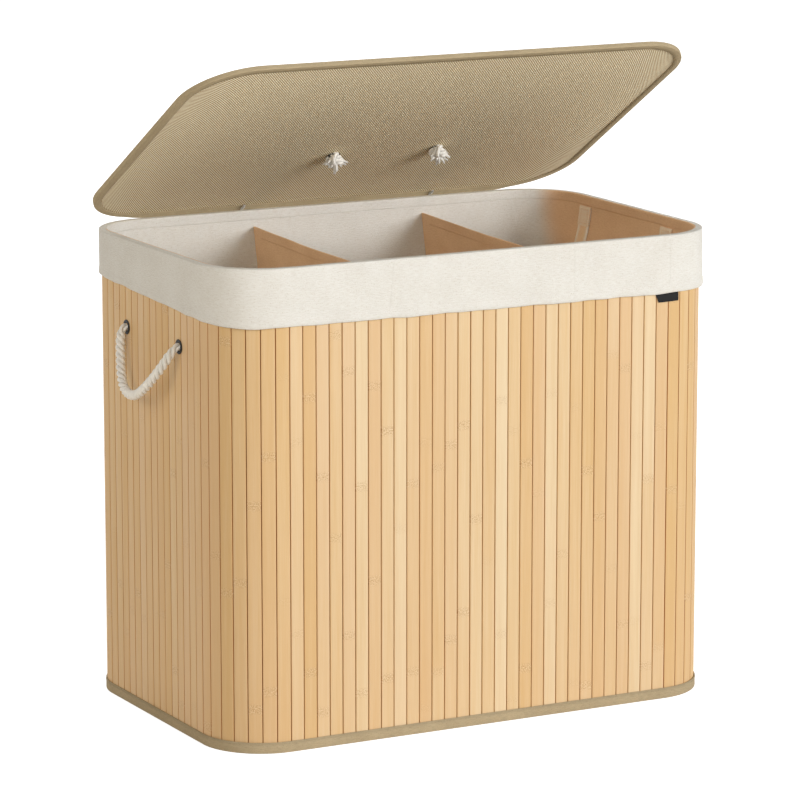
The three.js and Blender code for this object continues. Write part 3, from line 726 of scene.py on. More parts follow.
def bamboo_material():
    """Bamboo: strips with fibres, a tone and a tinge for each slat and speckled knuckles."""
    fill = filled_by(
        strip_group, read=(("Tone", "tone"), ("Knuckle", "mark")), Light="bamboo_light", Dark="bamboo_dark",
        Tinge="bamboo_pink", Specks="knuckle",
    )
    return new_material("Bamboo", fill, bump=0.00012, Specular_IOR_Level=0.2)


def cotton_material():
    """Cotton of the liner: a fine plain weave, off-white, and warmer where the bag is marked."""
    fill = woven("cotton", "cotton_shade", 0.0006, 0.3, 0.25, other=("divider", "divider_shade"))
    return new_material("Liner Cotton", fill, bump=0.0004, Roughness=0.95, Specular_IOR_Level=0.1)


def divider_material():
    """Cotton of the dividers, which is warmer."""
    fill = woven("divider", "divider_shade", 0.0006, 0.3, 0.4)
    return new_material("Divider Cotton", fill, bump=0.0004, Roughness=0.95, Specular_IOR_Level=0.1)


def webbing_material():
    """Cotton webbing: a coarse plain weave with paler edges."""
    fill = woven("webbing", "divider_shade", 0.0013, 0.5, 0.2, other=("cotton", "webbing"))
    return new_material("Cotton Webbing", fill, bump=0.0003, Roughness=0.95, Specular_IOR_Level=0.1)


def tape_material():
    """Khaki tape with a coarse plain weave."""
    fill = woven("tape", "tape_shade", 0.0009, 0.6, 0.3)
    return new_material("Khaki Tape", fill, bump=0.0002, Roughness=0.9, Specular_IOR_Level=0.15)


def cloth_material():
    """Khaki cloth with ribs on the slant."""
    fill = filled_by(twill_group, turn=np.radians(38), Rib=0.00243, Light="cloth", Shade="cloth_shade")
    return new_material("Khaki Cloth", fill, bump=0.0001, Roughness=0.9, Specular_IOR_Level=0.15)


def rope_material():
    """Cotton rope with fine fibres."""
    fill = filled_by(fibre_group, Light="rope", Shade="rope_shade")
    return new_material("Cotton Rope", fill, bump=0.0003, Roughness=0.95, Sheen_Weight=0.2)


def thread_material():
    """Sewing thread of the cotton's colour."""
    fill = filled_by(fibre_group, Light="cotton", Shade="cotton_shade")
    return new_material("Sewing Thread", fill, bump=0.00005, Roughness=0.8)


def metal_material():
    """Black lacquered metal with worn, uneven gloss."""

    def fill(tree):
        wear = noise(tree, object_place(tree), 900.0, 3.0)
        base = mix(tree, between(tree, wear, 0.55, 0.8), tint("metal"), tint("board"))
        base = mix(tree, 0.12, tint("metal"), base)
        rough = maths(tree, "MULTIPLY_ADD", wear, 0.25, 0.45)
        return base, wear, rough

    return new_material("Black Metal", fill, bump=0.00003, Metallic=0.3)


def ribbon_material():
    """Black ribbon with a fine plain weave."""
    fill = woven("ribbon", "metal", 0.0005, 0.5, 0.2)
    return new_material("Black Ribbon", fill, bump=0.0001, Roughness=0.7, Specular_IOR_Level=0.2)


def board_material():
    """Fibreboard: pressed fibres in all directions."""

    def fill(tree):
        spot = object_place(tree)
        fibres = noise(tree, spot, 420.0, 5.0, 0.7)
        return mix(tree, between(tree, fibres, 0.3, 0.7), tint("board"), tint("knuckle")), fibres, None

    return new_material("Fibreboard", fill, bump=0.0003, Roughness=0.85)


def plain_cloth_material(name, light, shade):
    """Woven cloth on a CAD node, placed by Object coordinates."""
    fill = woven(light, shade, 0.001, 0.6, 0.2, here=object_place)
    return new_material(name, fill, bump=0.0002, Roughness=0.9)


# Pieces


def slat_profile(width, thick):
    """A slat's section as [across, out] from its face: a flat back, upright sides, rounded edges and a
    slightly raised middle."""
    half = width / 2
    edge = [(half, -thick), (half, -0.6 * MM), (half - 0.2 * MM, -0.2 * MM), (half - 0.8 * MM, -0.04 * MM)]
    return np.array([*edge, (half * 0.45, 0), (-half * 0.45, 0), *[(-a, o) for a, o in edge[::-1]]])


def tone_with_groove_shade(tone, section, dark=0.25):
    """The slats' tones over their sections. Down the sawn sides they go by a smooth step to a level of
    dark below 0."""
    sawn = ease((-0.1 * MM - section[:, 1]) / (0.4 * MM))
    return tone[..., None] * (1 - sawn) - dark * sawn


def raised_face(section):
    """1 at the points of a slat's section that belong to its face, and 0 at the rest."""
    return (section[:, 1] > -0.5 * MM).astype(float)


def knuckle_levels(count, random, low, high):
    """Levels along each slat, how far each is a knuckle, and the slat's tone there.

    A slat has one knuckle in its lower half, and often a second one further up. Its tone changes a little
    at each of them.
    """
    first = random.uniform(low + 0.02, low + 0.27, (count, 1))
    second = np.minimum(first + random.uniform(0.22, 0.34, (count, 1)), high - 11 * MM)
    near = np.array([[-7.5, -3.5, 0, 3.5, 7.5]]) * MM
    one = np.ones((count, 1))
    levels = np.concatenate([low * one, first + near, second + near, high * one], 1)
    bump = np.array([[0, 0.85, 1, 0.85, 0]]) * random.uniform(0.15, 1, (count, 1))
    mark = np.concatenate([0 * one, bump, bump * (second < high - 11.5 * MM), 0 * one], 1)
    tones = random.beta(1.6, 1.6, (count, 1)) + random.normal(0, 0.1, (count, 3)).cumsum(1)
    step = np.array([[0, 0.3, 0.5, 0.7, 1]])
    change = [tones[:, k : k + 1] + step * (tones[:, k + 1 : k + 2] - tones[:, k : k + 1]) for k in (0, 1)]
    return levels, mark, np.concatenate([tones[:, :1], *change, tones[:, 2:]], 1).clip(0, 1)


def build_wall_slats():
    """Slats round the wall: each is its section carried up from its foot to its top, standing square to
    the wall, and a little thicker at its knuckles. The short walls' and the corners' slats are of an
    even, darker tone, with darker sides."""
    body = sizes()[0]
    random = np.random.default_rng(11)
    surface = Surface()
    foot, top, thick, swell = 1.1 * MM, body.height - 3.4 * MM, 2.8 * MM, 0.12 * MM
    for start, end in stretches():
        count = int(round((end - start) / body.pitch))
        pitch = (end - start) / count
        middles = even_places(start, end, pitch)
        bent = abs(end - start - np.pi / 2 * body.corner) < 1e-6
        short = end - start < body.depth
        sunk = body.corner * (1 - np.cos(np.pi / 4 / count)) if bent else 0.0
        here, along, out = wall_frame(middles, -sunk, 0.0)
        shares = random.uniform(0.985, 1.0, (count, 1))
        section = slat_profile(pitch - body.gap, thick)
        levels, mark, tone = knuckle_levels(count, random, foot, top)
        # Painted shade: the corners' and the short walls' slats have their tones pressed towards the dark
        # colour.
        tone = tone * (0.25 if bent else 0.45 if short else 1)
        across = section[:, 0] * shares
        uneven = random.uniform(-0.15, 0, (count, 1, 1)) * MM
        lift = section[:, 1] + (swell * mark[:, :, None] + uneven) * raised_face(section)
        points = (
            here[:, None, None]
            + along[:, None, None] * across[:, None, :, None]
            + out[:, None, None] * lift[..., None]
            + np.array([0, 0, 1.0]) * levels[:, :, None, None]
        )
        shift = random.uniform(0, 40, (count, 1))
        # Painted shade: the sawn sides go to the groove colour, deeper on the short walls.
        surface.grid(
            points, levels + shift, np.concatenate([across, across[:, :1]], 1) + shift,
            wrap_v=True, tone=tone_with_groove_shade(tone, section, 0.9 if short else 0.2),
            mark=mark[..., None], caps=True,
        )
    piece = surface.piece("wall_slats_bamboo", bamboo_material(), "bamboo", sharp=50)
    swap_pattern(piece)
    names = [f"{side}_slats" for side in ("front", "right", "back", "left")]
    names += [f"{corner}_corner_slats" for corner in ("front_right", "back_right", "back_left", "front_left")]
    place(piece, "root", *names)


def swap_pattern(piece):
    """Turns the pattern coordinates, so that the first goes across a slat and the second along it."""
    layer = piece.data.uv_layers[PATTERN].data
    values = np.zeros(len(layer) * 2, np.float32)
    layer.foreach_get("uv", values)
    layer.foreach_set("uv", values.reshape(-1, 2)[:, ::-1].ravel())


def round_ring(section, columns, shake, seed):
    """A ring round the wall with a closed section of [offset, height], and its pattern coordinates. Its
    outer face moves in and out a little with soft ripples."""
    total = wall_length()
    s = np.linspace(0, total, columns, endpoint=False)
    offset, height = section[:, 0][None], section[:, 1][None]
    wave = shake * ripples(s[:, None] / total, height * 10, seed, (17, 29, 43, 71))
    points = round_wall(s[:, None], offset + wave, height)
    return points, np.append(s, total), round_distance(section)


def rounded_fold(inner, outer, low, top):
    """Section of a tape folded over an edge: two legs and a bend with round corners, as a closed line."""
    thick = TAPE_THICK
    bend, middle = thick * 1.4, (low + top) / 2
    angle = np.linspace(0, np.pi / 2, 5)
    outside = [(outer, low), (outer, middle)]
    outside += list(zip(outer - bend + bend * np.cos(angle), top - bend + bend * np.sin(angle)))
    outside += list(zip(inner + bend - bend * np.sin(angle), top - bend + bend * np.cos(angle)))
    outside += [(inner, middle), (inner, low)]
    inside = [(inner + thick, low), (inner + thick, top - thick)]
    inside += [(outer - thick, top - thick), (outer - thick, low)]
    return np.array(outside + inside)


def build_bindings():
    """Tapes folded over the wall's top and bottom edges: the fold's section carried round the wall, with
    a row of stitches near its open edge. The bottom one is the top one's section upside down."""
    body, liner, _ = sizes()
    top = body.height - 2.3 * MM
    stitches_in, fold_width = 2.2 * MM, TRIM_FACE - MAT_BACK
    fold = rounded_fold(MAT_BACK, TRIM_FACE, top - body.tape, top)
    flip = np.array([1, -1]) * fold + [0, top]
    for name, section, level, seed in (
        ("top", fold, top - body.tape + stitches_in, 3), ("bottom", flip[::-1], body.tape - stitches_in, 5),
    ):
        surface = Surface()
        points, u, v = round_ring(section, 420, 0.12 * MM, seed)
        surface.grid(points, u, v, wrap_u=True, wrap_v=True)
        here, along, out = wall_frame(even_places(0, u[-1], liner.stitch), 1.15 * MM, level)
        add_stitches(surface, here, along, out, liner.stitch, 0.6 * MM)
        piece = surface.piece(f"{name}_binding_tape", tape_material(), "khaki_tape")
        place(piece, "root", f"{name}_binding")


def build_base():
    """Cloth under the base: a flat rounded rectangle with slight ripples, as two skins closed at the edge."""
    body = sizes()[0]
    inset, thick = 5.5 * MM, 0.7 * MM
    width, depth = body.width - 2 * inset, body.depth - 2 * inset
    points, u, v = panel_grid(width, depth, body.corner - inset, 90, 60)
    lift = (0.15 + 0.15 * ripples(points[..., 0] * 2, points[..., 1] * 9, 8, (3, 7, 11))) * MM
    low = points + lift[..., None] * [0, 0, 1]
    surface = Surface()
    surface.slab(low + [0, 0, thick], low, u, v)
    piece = surface.piece("base_cloth_woven", cloth_material(), "khaki_cloth", sharp=60)
    place(piece, "root", "base_cloth")


def cuff_hem_height(distance):
    """How far the cuff's lower edge stands above its even height: control heights along the wall, joined
    by straight lines, for a liner that was pulled on unevenly."""
    places = np.array([0, 0.25, 0.498, 0.62, 0.87, 1.0, 1.25, 1.49, 1.60, 1.66, 1.72, 1.78, 1.86, 1.92])
    lifts = np.array([-1.4, -2.4, -3, -2, 0, 2, 2, 6, 12.5, 9, 7.4, 4.2, 1.6, -2.2]) * MM
    places, lifts = np.append(places / ONCE_ROUND, 1), np.append(lifts, lifts[0])
    return np.interp(distance / wall_length(), places, lifts)


def build_cuff():
    """The liner folded over the rim: a section that goes up the outside, over the rim and a little way
    down inside, and back at the cloth's thickness, carried round the wall.

    Soft ripples move it out and in, more towards the hem. The hem is a double layer, and each upright
    seam is a groove beside a raised double layer.
    """
    body, liner, _ = sizes()
    total = wall_length()
    flat = body.width - 2 * body.corner
    seams = np.array([flat / 2 - 0.119, flat / 2 + 0.118, flat - 0.001, total * 0.5, total * 0.77])
    leans = np.array([-6, 0, 0, 0, 2]) * MM
    fine = (seams[:, None] + np.arange(-12, 13, 0.9)[None] * MM).ravel() % total
    even = np.linspace(0, total, 360, endpoint=False)
    s = np.unique(np.round(np.concatenate([even, fine]), 6))[:, None]
    top, thick = body.height, 1.6 * MM
    outer, inner = 2.9 * MM, -7.5 * MM

    rise = [0, 0.012, 0.03, 0.06, 0.095, 0.107, 0.118, 0.129, 0.14, 0.152, 0.18]
    rise = np.concatenate([rise, np.linspace(0.23, 1, 13)])[None]
    lower = 1 - rise
    foot = top - liner.cuff + cuff_hem_height(s) + 0.8 * MM * ripples(s / total, 0, 2, (19, 31, 53))
    up = foot + rise * (top - thick - foot)
    wave = liner.wave * (0.3 + 1.3 * lower**2) * (0.1 + ripples(s / total, up * 3, 4, (9, 17, 26, 39, 61)))
    level = (up - foot - liner.hem) / MM
    hem = 0.7 * MM * ease(0.5 - level / 1.2) - 0.5 * MM * np.exp(-(((level + 1.2) / 0.8) ** 2))
    round_edge = -0.9 * MM * (1 - ease(rise / 0.03))
    gap = (s[..., None] - seams - leans * lower[..., None] + total / 2) % total - total / 2
    felled = 0.2 * MM * ease(gap / (1.2 * MM)) * ease((7.5 * MM - gap) / (1.6 * MM))
    groove = -0.1 * MM * np.exp(-((gap / (1.0 * MM)) ** 2))
    seam = (felled + groove).sum(-1)
    out_offset = outer + wave + hem + round_edge + seam * (1 - 0.5 * (hem > 0))

    angle = np.linspace(0, np.pi / 2, 5)[None]
    roll = 0.12 * MM * ripples(s / total, 0, 6, (23, 41, 67))
    spread = out_offset[:, -1:] - outer
    bend_out = outer - thick + thick * np.cos(angle) + spread * np.cos(angle)
    bend_out_up = top - thick + thick * np.sin(angle) + roll * np.sin(angle)
    flat_off = np.linspace(outer - thick, inner + thick, 6)[None, 1:-1] + 0 * s
    flat_up = top + 0.05 * MM * np.sin(np.linspace(0, np.pi, 6))[None, 1:-1] + roll
    bend_in = inner + thick - thick * np.sin(angle) + 0 * s
    bend_in_up = top - thick + thick * np.cos(angle) + roll * np.cos(angle)

    flare = np.array([0, 0, 0, 0.1, 0.35]) * MM
    in_off = inner + flare + 0.25 * MM * ripples(s / total, 0, 9, (19, 37))
    in_up = top - thick - np.array([2, 6, 9, 9.8, 10]) * MM + 0 * s

    back = [inner + thick, inner + thick, outer - thick], [top - RIM_INSIDE, top - thick, top - thick]
    back_off = np.concatenate([back[0] + 0 * s, (out_offset - thick - hem)[:, ::-3]], 1)
    back_up = np.concatenate([back[1] + 0 * s, up[:, ::-3]], 1)
    offsets = np.concatenate([out_offset, bend_out[:, 1:], flat_off, bend_in, in_off, back_off], 1)
    heights = np.concatenate([up, bend_out_up[:, 1:], flat_up, bend_in_up, in_up, back_up], 1)
    heights[:, -1] = foot[:, 0] + 0.3 * MM
    points = round_wall(s, offsets, heights)

    # Painted shade: the cuff's inside along the short walls takes the dividers' tan.
    inside = np.zeros(offsets.shape[1])
    inside[out_offset.shape[1] + 8 : -back_off.shape[1]] = 1
    surface = Surface()
    surface.grid(
        points, np.append(s[:, 0], total), round_distance(np.stack([offsets.mean(0), heights.mean(0)], -1)),
        wrap_u=True, wrap_v=True, mark=side_shade_share(points) * inside,
    )
    piece = place(surface.piece("liner_cuff_cotton", cotton_material(), "cotton"), "root", "liner_cuff")
    build_cuff_stitches(s[:, 0], foot[:, 0], out_offset, up, seams, leans)


def build_cuff_stitches(s, foot, offsets, heights, seams, leans):
    """Rows of stitches along the cuff's hem and down its seams, on the cuff's own surface: each stitch
    stands where the surface's offset is found between its nearest columns."""
    body, liner, _ = sizes()
    total = wall_length()
    surface = Surface()
    around = even_places(0, total, liner.stitch)
    level = np.interp(around, s, foot) + liner.hem - 0.8 * MM
    column = np.interp(around, s, np.arange(len(s))).astype(int)
    row = np.abs(heights[column] - level[:, None]).argmin(1)
    here, along, out = wall_frame(around, offsets[column, row] + 0.05 * MM, level)
    add_stitches(surface, here, along, out, liner.stitch)
    levels = even_places(body.height - liner.cuff + 11 * MM, body.height - 4 * MM, liner.stitch)
    lower = (body.height - 2 * MM - levels) / (liner.cuff - 2 * MM)
    for seam, lean in zip(seams, leans):
        for aside in (1.6 * MM, 6.2 * MM):
            spots = (seam + lean * lower + aside) % total
            column = np.interp(spots, s, np.arange(len(s))).round().astype(int)
            row = np.abs(heights[column] - levels[:, None]).argmin(1)
            here, _, out = wall_frame(spots, offsets[column, row] + 0.02 * MM, levels)
            add_stitches(surface, here, np.broadcast_to([0.0, 0, 1], here.shape), out, liner.stitch, 0.5 * MM)
    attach(surface.piece("liner_cuff_stitches", thread_material(), "cotton"), "root")


def side_shade_share(points):
    """How far points belong to the short walls' warmer cloth: in full along the short walls, and taken
    back by a smooth step, which is long within the right corners and short beside the left wall."""
    x, side = points[..., 0], sizes()[0].width / 2
    right = ease((x - side + 40 * MM) / (25 * MM))
    left = ease((-x - side + 12 * MM) / (6 * MM))
    return np.where(x > 0, right, left)


def bag_offset(height):
    """Offset of the bag's outer face: near the wall under the cuff, drawn in by a smooth step below it."""
    top, reach = sizes()[0].height - 12.3 * MM, 80 * MM
    return -6.5 * MM - 14 * MM * ease((top - height) / reach)


def bag_folds(distance, height):
    """How far the bag's folds stand in from its plain shape: soft upright ripples that grow downwards and
    die out at the dividers' seams and behind the webbing handles."""
    body, liner, _ = sizes()
    total = wall_length()
    flat_x, flat_y = body.width - 2 * body.corner, body.depth - 2 * body.corner
    arc = np.pi / 2 * body.corner
    front = flat_x / 2
    back = flat_x + flat_y + 2 * arc + flat_x / 2 - liner.divider_shift
    joins = np.array([middle + way * liner.divider for middle in (front, back) for way in (-1, 1)])
    gap = (distance[..., None] - joins + total / 2) % total - total / 2
    still = 1 - np.exp(-((gap / 0.03) ** 2)).max(-1)
    on_side, ramp = np.zeros_like(distance), 0.02
    for start in (flat_x + arc, 2 * flat_x + flat_y + 3 * arc):
        before, after = distance - start + ramp, start + flat_y + ramp - distance
        on_side = np.maximum(on_side, ease(before / ramp) * ease(after / ramp))
    still = still * (1 - on_side * ease((height - 0.33) / 0.04))
    depth = liner.fold * (0.12 + 0.88 * ease((0.545 - height) / 0.2)) * ease(height / 0.03)
    wave = 0.5 + 0.5 * ripples(distance / total, height * 1.6, 12, (11, 18, 27, 40, 58))
    return depth * still * wave


def build_bag():
    """The bag: two skins round the inside of the wall, a cloth's thickness apart, with soft folds, and
    the floor as a flat panel with slight waves that lies on the board."""
    body = sizes()[0]
    total = wall_length()
    s = np.linspace(0, total, 300, endpoint=False)[:, None]
    rise = body.height - 11.75 * MM - BAG_FOOT
    z = (BAG_FOOT + np.linspace(0, 1, 46) ** 0.8 * rise)[None]
    inside = bag_offset(z) - 1 * MM - bag_folds(s + 0 * z, z + 0 * s)
    points = [round_wall(s, inside + step, z) for step in (0.9 * MM, 0)]
    surface = Surface()
    # Painted shade: the bag's short walls are marked for the dividers' tan.
    surface.slab(*points, np.append(s[:, 0], total), z[0], wrap_u=True, mark=side_shade_share(points[0]))
    piece = surface.piece("liner_bag_cotton", cotton_material(), "cotton", sharp=70)
    place(piece, "root", "liner_walls")

    width, depth = body.width - 2 * FLOOR_INSET, body.depth - 2 * FLOOR_INSET
    points, u, v = panel_grid(width, depth, body.corner - FLOOR_INSET, 80, 50)
    waves = 0.5 + 0.5 * ripples(points[..., 0] * 1.3, points[..., 1] * 5, 21, (2, 5, 9))
    low = points + (5.45 * MM + 1.6 * MM * waves)[..., None] * [0, 0, 1]
    surface = Surface()
    surface.slab(low + [0, 0, 0.9 * MM], low, u, v)
    piece = surface.piece("liner_floor_cotton", cotton_material(), "cotton", sharp=70)
    place(piece, "root", "liner_floor")


def build_dividers():
    """Cloth walls across the bag: flat sheets that lean a little to the right at the back, with a hemmed
    top edge that sags by a shallow arch and soft waves that die out where they are sewn on."""
    body, liner, _ = sizes()
    drop, inset, foot = 20 * MM, 20 * MM, 6.9 * MM
    t = np.linspace(-1, 1, 72)[:, None]
    rows = np.concatenate([np.linspace(0, 0.9, 30), np.linspace(0.92, 0.982, 5), [0.986, 0.992, 1.0]])[None]
    sewn_row = 34
    top = body.height - drop - 1.8 * MM * (1 - t**2)
    z = foot + rows * (top - foot)
    y = t * (body.depth / 2 + bag_offset(z) - 1.1 * MM)
    free = (1 - t**4) * ease(rows / 0.1)
    hem = 0.5 * MM * ease((z - top + 8 * MM) / (1 * MM))
    half = 0.55 * MM + hem
    for side, sign in LEFT_AND_RIGHT:
        wave = 3.2 * MM * free * ripples(t / 2, z * 2, 30 + sign, (1, 2, 3)) * (1 - 0.5 * rows)
        x = sign * liner.divider + liner.divider_shift / 2 + y * liner.divider_shift / body.depth + wave
        surface = Surface()
        both = [np.stack([x + way * half, y, z], -1) for way in (1, -1)]
        surface.slab(*both, y[:, 0], z[0])
        here = np.stack([x, y, z], -1)[:, sewn_row] - [0, 0, 1 * MM]
        line = even_steps(here[4:-4], liner.stitch)
        along = unit(np.gradient(line, axis=0))
        for way in (1, -1):
            out = np.broadcast_to([float(way), 0, 0], line.shape)
            add_stitches(surface, line + out * 1.05 * MM, along, out, liner.stitch, 0.6 * MM)
        piece = surface.piece(f"divider_{side}_cotton", divider_material(), "divider_cotton", sharp=70)
        place(piece, "root", f"divider_{side}")


def build_straps():
    """Webbing handles: a flat band carried down a leg, round half a circle and up the other leg, on the
    bag's surface, with its ends turned over and sewn down."""
    body, liner, _ = sizes()
    reach, centre = body.depth / 2 - body.corner - 31 * MM, 9 * MM
    top, bend = body.height - 13.3 * MM, body.height - 96.3 * MM
    angle = np.linspace(0, -np.pi, 40)
    leg = np.linspace(top, bend, 16)[:-1]
    y = np.concatenate([np.full(15, reach), reach * np.cos(angle), np.full(15, -reach)]) + centre
    z = np.concatenate([leg, bend + reach * np.sin(angle), leg[::-1]])
    middle = np.stack([np.zeros_like(y), y, z], -1)
    far = path_distance(middle)
    beside = np.cross(unit(np.gradient(middle, axis=0)), (1, 0, 0))
    w = np.array([-0.5, -0.46, -0.2, 0.2, 0.46, 0.5])
    band = middle[:, None] + beside[:, None] * (w * liner.strap)[:, None]
    low = (bend - z).clip(0) / reach
    seat = body.width / 2 + bag_offset(band[..., 2]) - 1.35 * MM - 2.5 * MM * low[:, None] ** 2
    ripple = 0.25 * MM * ripples(far[:, None] * 2, w[None] * 0.2, 40, (5, 9, 14))
    thin = np.array([0.35, 0, 0, 0, 0, 0.35]) * MM
    for side, sign in LEFT_AND_RIGHT:
        surface = Surface()
        faces = []
        for depth in (thin, 1.45 * MM - thin):
            face = band.copy()
            face[..., 0] = seat - depth - ripple
            faces.append(face * [sign, sign, 1])
        surface.slab(*faces, far, w * liner.strap, mark=(np.abs(w) > 0.45)[None] * 1.0)
        for row in (0, -1):
            add_strap_end(surface, middle[row], seat[row].mean(), sign)
        piece = surface.piece(f"liner_strap_{side}_webbing", webbing_material(), "cotton", sharp=60)
        place(piece, "root", f"liner_strap_{side}")


def add_strap_end(surface, top, seat, sign):
    """The turned end of a webbing handle: a short band over it, bowed at its fold, with a square of
    stitches."""
    liner = sizes()[1]
    reach, stitch = 24 * MM, 2.8 * MM
    t = np.linspace(0, 1, 9)[:, None]
    w = np.linspace(-0.5, 0.5, 5)[None]
    z = top[2] + 0.6 * MM - reach * t
    out = 1.5 * MM + 1.3 * MM * np.sqrt(np.clip(t * 14, 0, 1)) * (1 - 0.25 * ease((t - 0.85) / 0.15))
    base = seat + bag_offset(z) - bag_offset(top[2])
    y = top[1] + w * liner.strap * 1.02
    front, rear = (
        np.stack(np.broadcast_arrays(base - depth, y, z), -1) * [sign, sign, 1] for depth in (out, 1.3 * MM)
    )
    surface.slab(rear, front, z[:, 0], w[0] * liner.strap, mark=0.5)
    square = np.array([(0, -8, -3), (0, 8, -3), (0, 8, -20), (0, -8, -20), (0, -8, -3)]) * MM
    line = even_steps(square, stitch) + [0, top[1], top[2]]
    line[:, 0] = seat + bag_offset(line[:, 2]) - bag_offset(top[2]) - 2.85 * MM
    line = line * [sign, sign, 1]
    out = np.broadcast_to([-float(sign), 0, 0], line.shape)
    add_stitches(surface, line, unit(np.gradient(line, axis=0)), out, stitch, 0.6 * MM)


def build_tag():
    """A bare ribbon, folded double at its lower end, that hangs out from under the cuff near a corner: a
    band bent round the wall, thickest a little above its fold. Its left side slants in at its foot."""
    body, liner, _ = sizes()
    wide, tall, slant = 32.5 * MM, 19.5 * MM, 12 * MM
    start = body.width - 2 * body.corner - 19 * MM
    low = body.height - liner.cuff - 13.7 * MM
    t = np.linspace(0, 1, 9)[None]
    s = start + wide * np.linspace(0, 1, 16)[:, None]
    s = s + 5 * MM * (1 - t * 1.6).clip(0) * ease((start + slant - s) / slant)
    z = low + t * tall + 0.5 * MM * (s - start) / (30 * MM)
    puff = 0.25 * MM * np.sin(np.pi * np.clip(t * 2.2, 0, 1)) + 0.3 * MM * ripples(s * 9, t * 0.2, 50, (1, 2))
    half = 0.35 * MM * np.sqrt(np.clip(0.15 + t * 12, 0, 1))
    surface = Surface()
    both = [round_wall(s, 0.55 * MM + puff * (1 - t) + way * half, z) for way in (1, -1)]
    surface.slab(*both, s[:, 0], t[0] * 16 * MM)
    piece = place(surface.piece("tag_ribbon", ribbon_material(), "black_ribbon", sharp=70), "root", "tag")


def facing(points, normal, spot):
    """Points whose third coordinate is turned to run along a normal, moved to a spot."""
    normal = np.array(normal, float)
    first = unit(np.cross(normal, (0, 0, 1) if abs(normal[2]) < 0.7 else (1.0, 0, 0)))
    second = np.cross(normal, first)
    return points[..., :1] * first + points[..., 1:2] * second + points[..., 2:] * normal + np.array(spot)


def add_eyelet(surface, normal, spot, bore, inner, outer, flange):
    """A rolled eyelet: a closed section of barrel and two round-edged flanges, turned round its axis."""
    wall, step, dome, lip, edge = 0.8 * MM, 0.5 * MM, 0.15 * MM, 0.6 * MM, 0.4 * MM
    curl = np.linspace(0, np.pi, 5)
    tip = bore + wall + flange - edge + edge * np.sin(curl)
    section = np.concatenate([
        [(bore, inner + lip), (bore, outer - lip), (bore + step, outer + dome)],
        np.stack([tip, outer - edge + edge * np.cos(curl)], -1),
        [(bore + wall, outer - wall), (bore + wall, inner + wall)],
        np.stack([tip, inner + edge + edge * np.cos(curl)], -1),
        [(bore + step, inner - dome)],
    ])
    angle = np.linspace(0, 2 * np.pi, 36, endpoint=False)[:, None]
    reach, level = section.T
    ring = np.stack([reach * np.cos(angle), reach * np.sin(angle), level + 0 * angle], -1)
    around = np.linspace(0, 2 * np.pi * bore, 37)
    surface.grid(facing(ring, normal, spot), around, round_distance(section), wrap_u=True, wrap_v=True)


def add_knot(surface, normal, spot, width, rope, seed, fray=True):
    """A lumpy knot on the far side of a hole, with the rope's stub in the hole and its tail frayed.

    The rope follows a trefoil, sin t + 2 sin 2t across, cos t - 2 cos 2t up and sin 3t out, pressed to the
    knot's width.
    """
    random = np.random.default_rng(seed)
    thick = rope * 0.86
    t = np.linspace(0.25, 2 * np.pi + 0.1, 110) + random.uniform(0, 2)
    size = (width - thick) / 6
    across, up = np.sin(t) + 2 * np.sin(2 * t), np.cos(t) - 2 * np.cos(2 * t)
    curve = np.stack([size * across, size * up, -0.36 * thick * np.sin(3 * t)], -1)
    curve = curve * [1.02, 0.9, 1] + [0, 0, -0.86 * thick] + 0.04 * thick * np.sin(t * 5)[:, None]
    add_rope(surface, facing(curve, normal, spot), normal, thick, rope * 2.6, sides=7)
    stub = np.linspace(-0.9, 0.35, 5)[:, None] * [0, 0, rope]
    add_rope(surface, facing(stub, normal, spot), (0.6, 0.64, 0.48), rope * 0.98, rope * 3.3, sides=7)
    if fray:
        add_fray(surface, facing(np.array([[0, 0, -0.7 * rope]]), normal, spot)[0], normal, width, random)


def add_fray(surface, spot, normal, width, random):
    """The rope's loose ends: threads that go out of the knot in three tufts, drawn thinner towards their
    tips and drooping a little."""
    count, sides = 21, 5
    tufts = np.array([(-0.9, 0, 0.2), (-0.3, 0, -1), (0.9, 0, 0.1)]) - 0.5 * np.array(normal)
    away = unit(np.repeat(unit(tufts), count // 3, 0) + random.normal(0, 0.17, (count, 3)))
    start = spot + random.normal(0, 0.05 * width, (count, 3))
    reach = random.uniform(0.4, 0.6, (count, 1, 1)) * width
    t = np.linspace(0, 1, 6)[None, :, None]
    line = start[:, None] + away[:, None] * reach * t + np.array([0, 0, -0.1]) * width * t**2
    along = unit(np.gradient(line, axis=1))
    across = unit(np.cross(along, (0.3, 0.9, 0.2)))
    third = np.cross(along, across)
    angle = np.linspace(0, 2 * np.pi, sides, endpoint=False)
    thick = 0.085 * width * (1 - 0.6 * t**2)
    ring = line[:, :, None] + thick[:, :, None] * (
        np.cos(angle)[:, None] * across[:, :, None] + np.sin(angle)[:, None] * third[:, :, None]
    )
    surface.grid(ring, t[0, :, 0] * width, np.linspace(0, 1, sides + 1), wrap_v=True, caps=True)


def wall_holes():
    """(side, end, normal, place) of the rope handles' holes."""
    body = sizes()[0]
    return [
        (side, end, (sign, 0, 0), (sign * body.width / 2, way * HANDLE_ASIDE, body.height - HANDLE_DROP))
        for side, sign in LEFT_AND_RIGHT for end, way in FRONT_AND_BACK
    ]


def tie_holes():
    """(side, place) of the hinge ties' holes in the back wall."""
    body = sizes()[0]
    return [
        (side, np.array([TIE_MIDDLE + sign * TIE_SHARE * body.width, body.depth / 2, body.height - TIE_DROP]))
        for side, sign in LEFT_AND_RIGHT
    ]


def lid_holes():
    """(side, place) of the rope handle's holes in the lid, in the lid's frame."""
    return [(side, np.array([LID_MIDDLE + sign * LID_ASIDE, LID_PLACE, 0])) for side, sign in LEFT_AND_RIGHT]


def lid_normal():
    """The direction out of the lid's top."""
    angle = sizes()[0].lid_open
    return np.array([0, np.sin(angle), np.cos(angle)])


